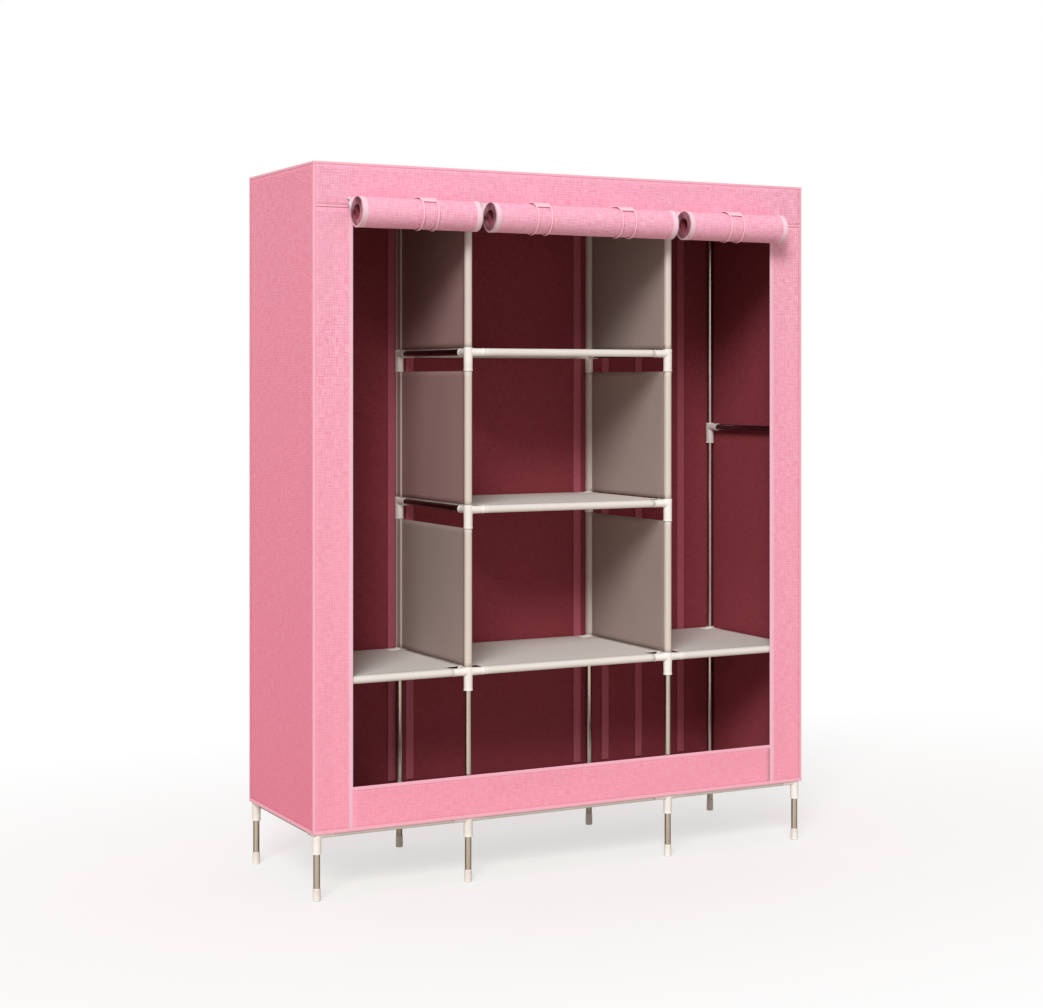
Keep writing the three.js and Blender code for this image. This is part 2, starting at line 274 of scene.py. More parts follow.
pale_floor = bpy.data.materials.new("pale_floor")
pale_floor.use_nodes = True
ground = pale_floor.node_tree
paint = ground.nodes["Principled BSDF"]
paint.inputs["Roughness"].default_value = floor_roughness
spot = node(ground, "TexCoord").outputs["Object"]
slender = node(ground, "VectorMath", {0: spot, 1: (floor_slender, 1, 1)}, operation="MULTIPLY")
distance = node(ground, "VectorMath", {0: slender.outputs[0]}, operation="LENGTH").outputs["Value"]
ground_rays = node(ground, "LightPath").outputs
looked_at = ground_rays["Is Camera Ray"]
noise = node(ground, "TexNoise", {"Vector": spot, "Scale": speckle_scale, "Detail": 3.0})
seen_shade = between(ground, noise.outputs[0], floor_colour, floor_speckle)
thrown_shade = between(ground, ground_rays["Is Glossy Ray"], floor_bounce, floor_mirrored)
floor_shade = between(ground, looked_at, thrown_shade, seen_shade)
ground.links.new(floor_shade, paint.inputs["Base Color"])
far = ranged(ground, distance, floor_plain, floor_white, least_white, 1.0)
white = node(ground, "Emission", {"Color": pure_white, "Strength": 1.0})
share = maths(ground, "MULTIPLY", far, looked_at)
mixed = node(ground, "MixShader", {0: share, 1: paint.outputs[0], 2: white.outputs[0]})
ground.links.new(mixed.outputs[0], ground.nodes["Material Output"].inputs["Surface"])
floor_mesh.materials.append(pale_floor)
print(f"floor white from {floor_white} m")

# %% [markdown]
# ## The weave
#
# The cover is a plain weave: each thread goes over one and under the next, both ways. The
# product of two cosines gives that checker of crossings. Its sign says which thread lies on
# top, and its size how high the thread stands there. Threads differ in tone along their whole
# length, and some are slubs, thicker and paler for a stretch. At even steps a doubled thread
# shows both ways, as the loom was set up. From a step away that makes a fine cross-hatch, and
# so the noise is drawn out along each thread instead of being left in round spots.

# %% Woven threads, a shared effect
thread_pitch = 1.3 * mm
slub_width = 2.7 * mm
thread_run = 14.0  # how far a thread keeps its tone, in pitches
slub_run = 9.0
doubled_every = 2.4  # slub widths from one doubled thread to the next
doubled_share = 0.09
slub_range = (0.78, 1.22)  # two noises are added here
warp_start, weft_start = 0.37, 71.7  # where each way's threads begin in the noise
slub_starts = (13.1, 47.9)


def streaks(tree, across, along, run, start):
    """Noise drawn out along one way."""
    spot_across = maths(tree, "ADD", across, start)
    spot_along = maths(tree, "DIVIDE", along, run)
    place = node(tree, "CombineXYZ", {0: spot_across, 1: spot_along}).outputs[0]
    sockets = {"Vector": place, "Scale": 1.0, "Detail": 2.0}
    return node(tree, "TexNoise", sockets, noise_dimensions="2D").outputs[0]


def in_steps(tree, place, step):
    """The first two numbers of a place, counted in steps."""
    ways = node(tree, "SeparateXYZ", {0: place}).outputs
    return [maths(tree, "DIVIDE", ways[i], step) for i in (0, 1)]


woven, given, wanted = effect(
    "woven_threads",
    {"Place": (0, 0, 0), "Pitch": thread_pitch, "Slub": slub_width},
    ("Tone", "Slubs", "Height"),
)
u_thread, v_thread = in_steps(woven, given["Place"], given["Pitch"])
u_slub, v_slub = in_steps(woven, given["Place"], given["Slub"])
waves = [maths(woven, "COSINE", maths(woven, "MULTIPLY", w, math.pi)) for w in (u_thread, v_thread)]
crossing = maths(woven, "MULTIPLY", *waves)
weft_on_top = maths(woven, "GREATER_THAN", crossing, 0.0)
warp = streaks(woven, maths(woven, "ROUND", u_thread), v_thread, thread_run, warp_start)
weft = streaks(woven, maths(woven, "ROUND", v_thread), u_thread, thread_run, weft_start)
top_thread = node(woven, "Mix", {0: weft_on_top, 2: warp, 3: weft}).outputs[0]
slubs = maths(
    woven,
    "ADD",
    streaks(woven, u_slub, v_slub, slub_run, slub_starts[0]),
    streaks(woven, v_slub, u_slub, slub_run, slub_starts[1]),
)
for way in (u_slub, v_slub):
    turn = maths(woven, "MULTIPLY", way, 2 * math.pi / doubled_every)
    doubled = maths(woven, "MULTIPLY", maths(woven, "COSINE", turn), doubled_share)
    slubs = maths(woven, "ADD", slubs, doubled)
woven.links.new(ranged(woven, top_thread, *noise_range), wanted["Tone"])
woven.links.new(ranged(woven, slubs, *slub_range), wanted["Slubs"])
woven.links.new(maths(woven, "ABSOLUTE", crossing), wanted["Height"])
print("effect:", woven.name)

# %% [markdown]
# ## Soft patches
#
# Sewn cloth is never of one tone: it fades and is rubbed where hands reach. Large soft noise
# stands for that. It uses the place on the object, not the flat cloth, so a patch runs on from
# one panel into the next.

# %% Soft patches, a shared effect
patch_size = 0.3
patch_range = (0.34, 0.66)

patches, given, wanted = effect("soft_patches", {"Place": (0, 0, 0), "Size": patch_size}, ("Mask",))
scale = maths(patches, "DIVIDE", 1.0, given["Size"])
cloud = node(patches, "TexNoise", {"Vector": given["Place"], "Scale": scale, "Detail": 3.0})
patches.links.new(ranged(patches, cloud.outputs[0], *patch_range), wanted["Mask"])
print("effect:", patches.name)

# %% [markdown]
# ## Cloth finishes
#
# One function makes every woven finish. The flat coordinates of a sheet are metres of cloth,
# so the threads have their true size and run straight however the sheet is bent. The doors'
# curtains are the exception: they are let down out of a short strip, and metres measured on
# that strip would stretch with it. They take the place in space instead. The sides' finish is a
# little deeper than the front's, which is painted shade, and the rolls' a little paler, which is
# painted light.

# %% A function for woven cloth
cloth_roughness = 0.88
rough_threads = (0.95, 0.8)  # of the deep threads and of the pale ones
thread_share = 0.3  # how much single threads count beside slubs
faded_share = 0.35
foot_shade_share = 0.55
thread_relief = 0.25 * mm


def finish(name, roughness):
    """A new material with its node tree and its shader."""
    material = bpy.data.materials.new(name)
    material.use_nodes = True
    shader = material.node_tree.nodes["Principled BSDF"]
    shader.inputs["Roughness"].default_value = roughness
    return material, material.node_tree, shader


def flat_place(tree, hangs=False):
    """Metres of flat cloth, or the place across and up in space for a hanging curtain."""
    if not hangs:
        return node(tree, "UVMap", uv_map="cloth_metres").outputs[0]
    space = node(tree, "SeparateXYZ", {0: node(tree, "TexCoord").outputs["Object"]}).outputs
    return node(tree, "CombineXYZ", {0: space["X"], 1: space["Z"]}).outputs[0]


def relief(tree, shader, height, depth, strength):
    sockets = {"Height": height, "Distance": depth, "Strength": strength}
    tree.links.new(node(tree, "Bump", sockets).outputs[0], shader.inputs["Normal"])


def woven_cloth(name, deep, pale, faded, foot, hangs=False):
    """Cloth of two thread colours that fades in patches, with painted shade deepening it towards its
    foot.
    """
    material, tree, shader = finish(name, cloth_roughness)
    place = flat_place(tree, hangs)
    threads = use(tree, woven, Place=place, Pitch=thread_pitch, Slub=slub_width)
    space = node(tree, "TexCoord").outputs["Object"]
    worn = use(tree, patches, Place=space)["Mask"]
    tone = node(tree, "Mix", {0: thread_share, 2: threads["Slubs"], 3: threads["Tone"]}).outputs[0]
    colour = between(tree, tone, deep, pale)
    colour = between(tree, maths(tree, "MULTIPLY", worn, faded_share), colour, faded)
    # Deeper towards the foot of the cover: painted shade.
    height = node(tree, "SeparateXYZ", {0: space}).outputs["Z"]
    painted_foot_shade = ranged(tree, height, top, hem, 0.0, foot_shade_share)
    tree.links.new(between(tree, painted_foot_shade, colour, foot), shader.inputs["Base Color"])
    tree.links.new(ranged(tree, tone, 0.0, 1.0, *rough_threads), shader.inputs["Roughness"])
    shader.inputs["Sheen Weight"].default_value = 0.15
    shader.inputs["Sheen Tint"].default_value = pale
    shader.inputs["Sheen Roughness"].default_value = 0.5
    shader.inputs["Specular IOR Level"].default_value = 0.25
    relief(tree, shader, threads["Height"], thread_relief, 0.6)
    return material


# Each is a deep thread, a pale one, the faded tone and the tone at the foot, which is painted shade.
pinks = tint(234, 145, 171), tint(255, 199, 219), tint(248, 175, 199), tint(250, 150, 171)
# Paler, for the rolls: painted light.
lit_roll_tones = tint(235, 147, 174), tint(255, 204, 224), tint(250, 180, 204), tint(250, 150, 171)
# Deeper, for the side panels: painted shade.
shaded_side_tones = tint(240, 133, 158), tint(255, 178, 202), tint(250, 159, 182), tint(230, 116, 140)
# Maroon, for the inside of the cloth: painted shade of the wardrobe's inside.
inside_shade_tones = tint(138, 54, 63), tint(162, 74, 84), tint(150, 64, 72), tint(140, 56, 66)
pink = woven_cloth("pink_cloth", *pinks)
pink_shaded_sides = woven_cloth("pink_cloth_painted_shade_sides", *shaded_side_tones)
pink_lit_rolls = woven_cloth("pink_cloth_painted_light_rolls", *lit_roll_tones)
pink_hanging = woven_cloth("pink_cloth_hanging", *pinks, hangs=True)
inside_painted_shade = woven_cloth("cloth_inside_painted_shade", *inside_shade_tones)
print("finishes:", pink.name, pink_shaded_sides.name, pink_lit_rolls.name, pink_hanging.name, inside_painted_shade.name)

# %% [markdown]
# ## Tapes, ties and thread
#
# Seams are bound with a narrow ribbed tape, paler than the cloth. The ribs run across it, and
# a sine along the tape makes them. The ties are of the same tape, and their cords of elastic,
# whose braid shows as two sets of slanting lines.

# %% Ribbed tape, braided elastic and sewing thread
rib_pitch = 1.1 * mm
rib_relief = 0.2 * mm
rib_gloss = 0.1  # how much rougher or smoother than average the ribs get
fibre_run = 3.0
fibre_start = 5.3

ribs, given, wanted = effect(
    "ribs", {"Place": (0, 0, 0), "Pitch": rib_pitch, "Slant": 0.0}, ("Height", "Fibre")
)
ways = node(ribs, "SeparateXYZ", {0: given["Place"]}).outputs
lean = maths(ribs, "MULTIPLY", ways[0], given["Slant"])
turns = []
for kind in ("ADD", "SUBTRACT"):
    slanted = maths(ribs, "DIVIDE", maths(ribs, kind, ways[1], lean), given["Pitch"])
    turns.append(maths(ribs, "MULTIPLY", slanted, 2 * math.pi))
crests = maths(ribs, "MAXIMUM", *[maths(ribs, "SINE", turn) for turn in turns])
along = maths(ribs, "DIVIDE", ways[0], given["Pitch"])
fibre = streaks(ribs, turns[0], along, fibre_run, fibre_start)
ribs.links.new(ranged(ribs, crests, -1.0, 1.0), wanted["Height"])
ribs.links.new(ranged(ribs, fibre, *noise_range), wanted["Fibre"])


def ribbed_tape(name, deep, pale, pitch=rib_pitch, slant=0.0, hangs=False, roughness=0.8):
    material, tree, shader = finish(name, roughness)
    band = use(tree, ribs, Place=flat_place(tree, hangs), Pitch=pitch, Slant=slant)
    # Paler on the ribs' crests: painted light, mixed with the fibres' own tone.
    painted_rib_light = maths(tree, "MULTIPLY", band["Fibre"], band["Height"])
    tree.links.new(between(tree, painted_rib_light, deep, pale), shader.inputs["Base Color"])
    rough = ranged(tree, band["Fibre"], 0.0, 1.0, roughness + rib_gloss, roughness - rib_gloss)
    tree.links.new(rough, shader.inputs["Roughness"])
    shader.inputs["Sheen Weight"].default_value = 0.1
    relief(tree, shader, band["Height"], rib_relief, 0.5)
    return material


zip_tones = tint(242, 201, 216), tint(254, 229, 240)
binding_tape = ribbed_tape("binding_tape", tint(244, 170, 190), tint(254, 206, 220))
band_tape = ribbed_tape("zip_tape_of_bands", tint(240, 184, 203), tint(252, 212, 226))
zip_tape = ribbed_tape("zip_tape", *zip_tones)
zip_tape_hanging = ribbed_tape("zip_tape_hanging", *zip_tones, hangs=True)
# Deeper, for the tape's inner rounds and far side on a roll: painted shade.
roll_end_painted_shade = ribbed_tape("zip_tape_painted_shade", tint(122, 44, 60), tint(176, 88, 108))
tie_tape = ribbed_tape("tie_tape", tint(250, 196, 211), tint(255, 228, 237))
elastic = ribbed_tape("elastic", tint(244, 182, 199), tint(255, 220, 229), 1.5 * mm, 0.9)
thread = ribbed_tape("sewing_thread", tint(232, 140, 164), tint(252, 196, 210), 0.5 * mm, 1.0)
# Deeper, for the tapes inside the back: painted shade.
inside_tape_shaded = ribbed_tape("seam_tape_painted_shade", tint(176, 84, 100), tint(204, 116, 130))
print("finishes:", binding_tape.name, zip_tape.name, tie_tape.name, elastic.name, thread.name)

# %% [markdown]
# ## Pressed white cloth
#
# Shelves and the walls between the columns are not woven. Their fibres are pressed together,
# and the press leaves a lattice of small dimples. Two waves that run slanting across each
# other give the dimples, and fine noise the tangle of fibres between them. The walls' finish is
# deeper in tone: painted shade, for the shade they stand in. On the left, higher up, it takes
# on some of the cover's pink: painted pink light.

# %% Pressed fibres, a shared effect, and the white cloth
press_pitch = 1.9 * mm
press_relief = 0.15 * mm
press_roughness = 0.82
press_patch = 0.16
press_wear = 0.5
press_gloss = (0.6, 0.88)  # roughness from the cloth's low places to its high ones
dimple_range = (0.75, 1.0)
tangle_scale = 2600.0

pressed, given, wanted = effect(
    "pressed_fibres", {"Place": (0, 0, 0), "Pitch": press_pitch}, ("Height", "Fibre")
)
ways = node(pressed, "SeparateXYZ", {0: given["Place"]}).outputs
waves = []
for kind in ("ADD", "SUBTRACT"):
    slanted = maths(pressed, "DIVIDE", maths(pressed, kind, ways[0], ways[1]), given["Pitch"])
    waves.append(maths(pressed, "COSINE", maths(pressed, "MULTIPLY", slanted, math.pi)))
dimple = maths(pressed, "ABSOLUTE", maths(pressed, "MULTIPLY", *waves))
scaled = node(pressed, "VectorMath", {0: given["Place"], 3: tangle_scale}, operation="SCALE")
tangle = node(pressed, "TexNoise", {"Vector": scaled.outputs[0], "Scale": 0.5, "Detail": 4.0})
pressed.links.new(ranged(pressed, dimple, *dimple_range, 1.0, 0.0), wanted["Height"])
pressed.links.new(ranged(pressed, tangle.outputs[0], *noise_range), wanted["Fibre"])


def pressed_cloth(name, deep, pale, faded):
    material, tree, shader = finish(name, press_roughness)
    felt = use(tree, pressed, Place=flat_place(tree))
    space = node(tree, "TexCoord").outputs["Object"]
    worn = use(tree, patches, Place=space, Size=press_patch)["Mask"]
    tone = maths(tree, "MULTIPLY", felt["Fibre"], felt["Height"])
    colour = between(tree, tone, deep, pale)
    wear = maths(tree, "MULTIPLY", worn, press_wear)
    tree.links.new(between(tree, wear, colour, faded), shader.inputs["Base Color"])
    rough = ranged(tree, felt["Height"], 0.0, 1.0, *press_gloss)
    tree.links.new(rough, shader.inputs["Roughness"])
    relief(tree, shader, felt["Height"], press_relief, 0.5)
    return material


shelf_cloth = pressed_cloth(
    "shelf_cloth_white", tint(216, 210, 203), tint(240, 236, 230), tint(226, 220, 213)
)
# Deeper than the sleeves' cloth, for the walls in the bays: painted shade.
wall_felt_shaded = pressed_cloth(
    "wall_felt_painted_shade", tint(150, 133, 126), tint(173, 156, 148), tint(161, 145, 137)
)
# Pinker and deeper, for the left walls higher up: painted pink light and painted shade.
wall_felt_painted_pink_light = pressed_cloth(
    "wall_felt_painted_pink_light", tint(148, 115, 112), tint(173, 138, 134), tint(158, 124, 121)
)
sleeve_cloth = pressed_cloth(
    "sleeve_cloth_white", tint(204, 192, 182), tint(228, 218, 208), tint(214, 203, 194)
)
print("finishes:", shelf_cloth.name, wall_felt_shaded.name, wall_felt_painted_pink_light.name, sleeve_cloth.name)

# %% [markdown]
# ## Steel and plastic
#
# The tubes are bright steel. What makes them look used is not dirt but a change of gloss:
# long faint streaks from drawing the tube, and blots where it was held. A round tube also
# looks darker towards its sides, where it mirrors what stands beside it. Here nothing does, so
# the finish itself darkens where the surface turns away. The connectors are moulded in white
# plastic with a faint sheen, a fine grain, and slightly yellowed patches.

# %% Rubbed steel
rub_size = 0.02
draw_narrow = 18.0  # how much narrower the drawn streaks are than the blots
draw_run, blot_run = 9.0, 1.6
draw_start, blot_start = 2.2, 9.1
blot_range = (0.35, 0.7)
rim_start, rim_end = 0.1, 0.55  # how far a surface turns away before it darkens, and until when
rim_shade = tint(62, 52, 42)
polish, smudge = 0.02, 0.05  # how much smoother and rougher than average it gets

rubbed, given, wanted = effect(
    "rubbed", {"Place": (0, 0, 0), "Size": rub_size}, ("Streaks", "Blots")
)
u_size, v_size = in_steps(rubbed, given["Place"], given["Size"])
u_drawn = maths(rubbed, "MULTIPLY", u_size, draw_narrow)
drawn = streaks(rubbed, u_drawn, v_size, draw_run, draw_start)
blots = streaks(rubbed, u_size, v_size, blot_run, blot_start)
rubbed.links.new(ranged(rubbed, drawn, *noise_range), wanted["Streaks"])
rubbed.links.new(ranged(rubbed, blots, *blot_range), wanted["Blots"])


def steel(name, deep, pale, roughness, rim_share=0.0):
    material, tree, shader = finish(name, roughness)
    marks = use(tree, rubbed, Place=flat_place(tree))
    colour = between(tree, marks["Streaks"], deep, pale)
    slope = node(tree, "LayerWeight", {"Blend": 0.5}).outputs["Facing"]
    rim = ranged(tree, slope, rim_start, rim_end, 0.0, rim_share)
    tree.links.new(between(tree, rim, colour, rim_shade), shader.inputs["Base Color"])
    rough = ranged(tree, marks["Blots"], 0.0, 1.0, roughness - polish, roughness + smudge)
    tree.links.new(rough, shader.inputs["Roughness"])
    shader.inputs["Metallic"].default_value = 1.0
    return material


tube_steel = steel("tube_steel", tint(218, 210, 200), tint(240, 234, 226), 0.22, 0.88)
zip_steel = steel("zip_steel", tint(214, 213, 217), tint(242, 242, 245), 0.22)
print("finishes:", tube_steel.name, zip_steel.name)

# %% Moulded plastic
grain_scale = 900.0
grain_relief = 0.05 * mm
smoother, rougher = 0.05, 0.08  # how far the grain changes the roughness
yellowed_size = 0.05


def moulded(name, deep, pale, roughness=0.38):
    material, tree, shader = finish(name, roughness)
    space = node(tree, "TexCoord").outputs["Object"]
    grain = node(tree, "TexNoise", {"Vector": space, "Scale": grain_scale, "Detail": 3.0}).outputs[0]
    yellowed = use(tree, patches, Place=space, Size=yellowed_size)["Mask"]
    tree.links.new(between(tree, yellowed, deep, pale), shader.inputs["Base Color"])
    rough = ranged(tree, grain, *noise_range, roughness - smoother, roughness + rougher)
    tree.links.new(rough, shader.inputs["Roughness"])
    relief(tree, shader, grain, grain_relief, 0.25)
    return material


plastic = moulded("connector_white", tint(234, 229, 221), tint(247, 244, 239))
zip_plastic = moulded("zip_teeth_pale", tint(232, 186, 196), tint(248, 216, 222), 0.45)
# Deeper, for the teeth on a roll's inner rounds: painted shade.
zip_plastic_shaded = moulded("zip_teeth_painted_shade", tint(120, 60, 74), tint(214, 150, 166), 0.3)
print("finishes:", plastic.name, zip_plastic.name, zip_plastic_shaded.name)

# %% [markdown]
# ## Building meshes
#
# A Shape gathers points, faces and flat coordinates, part by part, and a function turns it
# into one object that rides on its body. The parts come from three kinds of form: a grid that
# a formula bends, an outline turned about an axis, and an outline carried along a line.

# %% A shape in the making
class Shape:
    """Points, faces, flat cloth coordinates in metres, and which finish each face takes."""

    def __init__(self):
        self.points, self.flat, self.faces, self.finishes = [], [], [], []
        self.count = 0

    def add(self, points, faces, flat=None, finish=0):
        points = np.asarray(points, float).reshape(-1, 3)
        self.points.append(points)
        self.flat.append(np.zeros((len(points), 2)) if flat is None else np.reshape(flat, (-1, 2)))
        self.faces += [tuple(int(i) + self.count for i in face) for face in faces]
        self.finishes += [finish] * len(faces) if isinstance(finish, int) else list(finish)
        self.count += len(points)
        return self

    def add_placed(self, other, matrix):
        """Another shape's parts, moved and turned."""
        turn, shift = np.array(matrix.to_3x3()), np.array(matrix.translation)
        points = np.concatenate(other.points) @ turn.T + shift
        return self.add(points, other.faces, np.concatenate(other.flat), other.finishes)

    def mesh(self, name):
        made = bpy.data.meshes.new(name)
        made.from_pydata(np.concatenate(self.points).tolist(), [], self.faces)
        return made


def face_outwards(mesh):
    """Turns all faces of a closed mesh outwards."""
    solid = bmesh.new()
    solid.from_mesh(mesh)
    bmesh.ops.recalc_face_normals(solid, faces=solid.faces)
    solid.to_mesh(mesh)
    solid.free()


def piece(name, shape, finishes, nodes=(), body=carcass, sheet=False, crease=35.0):
    """Turns a shape into an object that rides on a body and stands for its nodes."""
    mesh = shape.mesh(name)
    for material in finishes:
        mesh.materials.append(material)
    mesh.polygons.foreach_set("material_index", shape.finishes)
    corners = np.empty(len(mesh.loops), np.int32)
    mesh.loops.foreach_get("vertex_index", corners)
    layer = mesh.uv_layers.new(name="cloth_metres")
    layer.data.foreach_set("uv", np.concatenate(shape.flat)[corners].astype(np.float32).ravel())
    if not sheet:
        face_outwards(mesh)
    mesh.polygons.foreach_set("use_smooth", [True] * len(mesh.polygons))
    mesh.set_sharp_from_angle(angle=math.radians(crease))
    made = added(name, mesh)
    if body:
        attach(made, body)
    if nodes:
        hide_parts(*nodes)
    return made


def thicken(made, thickness, offset, inside=0):
    """Gives a sheet its thickness. inside is added to a face's finish for the far side."""
    modifier = made.modifiers.new("thickness", "SOLIDIFY")
    modifier.thickness = thickness
    modifier.offset = offset
    modifier.material_offset = inside


def settle(made):
    """Applies the modifiers of a piece, so that its mesh is final."""
    bpy.context.view_layer.update()
    evaluated = made.evaluated_get(bpy.context.evaluated_depsgraph_get())
    made.data = bpy.data.meshes.new_from_object(evaluated)
    made.modifiers.clear()


print("a Shape becomes a piece, which may be thickened and settled")

# %% Forms: grids, turned outlines and carried outlines
def lengths_along(line):
    """How far along a line each of its points lies."""
    steps = np.linalg.norm(np.diff(line, axis=0), axis=1)
    return np.concatenate([[0], np.cumsum(steps)])


def net(rows, columns, closed=False):
    """The faces of a net of points kept row by row, and round again if it is closed."""
    index = np.arange(rows * columns).reshape(rows, columns)
    if closed:
        index = np.concatenate([index, index[:, :1]], axis=1)
    corners = [index[:-1, :-1], index[:-1, 1:], index[1:, 1:], index[1:, :-1]]
    return np.stack(corners, axis=-1).reshape(-1, 4)


def grid(u, v, place):
    """A sheet over the flat coordinates u and v in metres, which place bends into space."""
    flat_u, flat_v = np.meshgrid(u, v)
    points = np.stack(np.broadcast_arrays(*place(flat_u, flat_v)), axis=-1)
    return points, net(len(v), len(u)), np.stack([flat_u, flat_v], axis=-1)


def rounded(corners, radius, steps=3):
    """A closed outline whose corners are rounded, as an array of points."""
    corners = np.asarray(corners, float)
    points = []
    for before, corner, after in zip(np.roll(corners, 1, 0), corners, np.roll(corners, -1, 0)):
        ways = before - corner, after - corner
        reach = [min(radius / max(np.linalg.norm(way), mm / 100), 0.5) for way in ways]
        start, end = [corner + way * share for way, share in zip(ways, reach)]
        for t in np.linspace(0, 1, steps + 1):
            points.append((1 - t) ** 2 * start + 2 * t * (1 - t) * corner + t**2 * end)
    return np.array(points)


def plate(width, height, middle=(0, 0)):
    """The corners of a rectangle."""
    x, y = width / 2, height / 2
    return np.array([(-x, -y), (x, -y), (x, y), (-x, y)]) + middle


def ring_of_faces(count, first, second):
    """Faces that join two rings of points, given where each ring starts."""
    return [[first + i, first + (i + 1) % count, second + (i + 1) % count, second + i]
            for i in range(count)]


def caps(count, last):
    return [list(range(count))[::-1], [last + i for i in range(count)]]


def turned(outline, segments=32, closed=True):
    """An outline of radius and height turned about Z. An open one is capped at its ends."""
    outline = np.asarray(outline, float)
    angles = np.linspace(0, 2 * math.pi, segments, endpoint=False)
    radius, height = outline[:, :1], outline[:, 1:]
    points = np.stack(
        [radius * np.cos(angles), radius * np.sin(angles), height + 0 * angles], axis=-1
    )
    flat = np.stack(np.meshgrid(angles * outline[:, 0].max(), lengths_along(outline)), axis=-1)
    last = (len(outline) - 1) * segments
    ends = ring_of_faces(segments, last, 0) if closed else caps(segments, last)
    return points, net(len(outline), segments, closed=True).tolist() + ends, flat


def carried(outline, line, side, up, closed=False):
    """A closed outline carried along a line. side and up say how it lies at each point."""
    outline, line = np.asarray(outline, float), np.asarray(line, float)
    side, up = [np.broadcast_to(np.asarray(way, float), line.shape) for way in (side, up)]
    points = (
        line[:, None]
        + outline[None, :, :1] * side[:, None]
        + outline[None, :, 1:] * up[:, None]
    )
    around = np.linalg.norm(np.diff(outline, axis=0, append=outline[:1]), axis=1)
    flat = np.stack(np.meshgrid(np.cumsum(around) - around[0], lengths_along(line)), axis=-1)
    count, last = len(outline), (len(line) - 1) * len(outline)
    ends = ring_of_faces(count, last, 0) if closed else caps(count, last)
    return points, net(len(line), count, closed=True).tolist() + ends, flat


def straight(start, end, step):
    """Evenly spaced points from start to end."""
    start, end = np.asarray(start, float), np.asarray(end, float)
    count = max(int(round(np.linalg.norm(end - start) / step)), 1)
    return start + np.linspace(0, 1, count + 1)[:, None] * (end - start)


X, Y, Z = (np.eye(3)[i] for i in range(3))
print("forms: net, grid, rounded, plate, turned, carried, straight")

# %% [markdown]
# ## The cover's panels
#
# The cover is sewn from eight flat panels. Stretched over a frame they are nearly flat, yet a
# perfect plane looks dead in the light. So each is a fine grid that sways by a millimetre or
# two between its seams, and not at all along them, where its neighbours are sewn on.

# %% The eight panels
sway = 1.6 * mm  # how far a panel gives between its seams
slack = 0.6  # a panel gives inwards more than outwards, by this share of its sway
seam_hold = 60 * mm  # how far from a seam the cloth is still held flat
cell = 14 * mm  # the size of the grid's cells
wave_lengths = (0.21, 0.33, 0.55)
dice = np.random.default_rng(5)


def soft_waves(u, v):
    """A sum of slow waves in random directions, between about -1 and 1."""
    total = 0
    for wave_length in wave_lengths:
        angle, start = dice.uniform(0, 2 * math.pi, 2)
        along = u * math.cos(angle) + v * math.sin(angle)
        total = total + np.sin(2 * math.pi * along / wave_length + start) * wave_length
    return total / sum(wave_lengths)


def eased(value):
    """Smoothly from 0 to 1."""
    value = np.clip(value, 0, 1)
    return value * value * (3 - 2 * value)


def panel(name, node_name, facing, outside=pink):
    low, high = [np.array(corner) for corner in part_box(node_name)]
    normal = np.asarray(facing, float)
    up = Y if normal[2] else Z
    side = np.cross(up, normal)
    width, height, depth = [abs((high - low) @ way) for way in (side, up, normal)]
    face = (low + high) / 2 + normal * depth / 2

    def place(u, v):
        edge = np.minimum(width / 2 - abs(u), height / 2 - abs(v))
        hold = min(seam_hold, min(width, height) / 2)
        give = sway * eased(edge / hold) * (soft_waves(u, v) + slack)
        spot = face[:, None, None] + side[:, None, None] * u + up[:, None, None] * v
        return spot - normal[:, None, None] * give

    u = np.linspace(-width / 2, width / 2, int(width / cell) + 2)
    v = np.linspace(-height / 2, height / 2, int(height / cell) + 2)
    made = piece(name, Shape().add(*grid(u, v, place)), [outside, inside_painted_shade],
                 [node_name], sheet=True)
    # The far side takes the maroon inside finish: painted shade.
    thicken(made, cloth, -1, inside=1)
    return made


panels = [
    panel("top_panel", "cover_top", Z),
    panel("back_panel", "cover_back", Y),
    # The side panels take the deeper finish: painted shade.
    panel("left_panel", "cover_side_left", -X, pink_shaded_sides),
    panel("right_panel", "cover_side_right", X, pink_shaded_sides),
    panel("fascia_panel", "cover_fascia", -Y),
    panel("left_band", "cover_band_left", -Y),
    panel("right_band", "cover_band_right", -Y),
    panel("skirt_panel", "cover_skirt", -Y),
]
print(len(panels), "panels")

# %% [markdown]
# ## Bindings
#
# Every edge where two panels meet is bound: a tape is folded over the seam and sewn through.
# Seen from the front it is the pale line round the fascia and down the corners. The tape is an
# outline carried along the edge. Round the top and the hem it turns the corners, and there the
# outline is mitred, so the loop closes without a joint.

# %% Bindings along the edges
tape_width = 5.5 * mm
tape_thick = 0.9 * mm
tape_sink = 0.2 * mm  # how deep a tape presses into the cloth
hem_width = 8 * mm
edge_step = 25 * mm

rim_outline = rounded(
    [
        (tape_thick, tape_thick),
        (tape_thick, -tape_width),
        (-tape_sink, -tape_width),
        (-tape_sink, -tape_sink),
        (-tape_width, -tape_sink),
        (-tape_width, tape_thick),
    ],
    1.2 * mm,
)
hem_outline = rounded(
    [
        (tape_thick, -tape_thick),
        (tape_thick, hem_width),
        (-tape_sink, hem_width),
        (-tape_sink, 0),
        (-cloth + tape_sink, 0),
        (-cloth + tape_sink, hem_width),
        (-cloth - tape_thick, hem_width),
        (-cloth - tape_thick, -tape_thick),
    ],
    0.7 * mm,
)


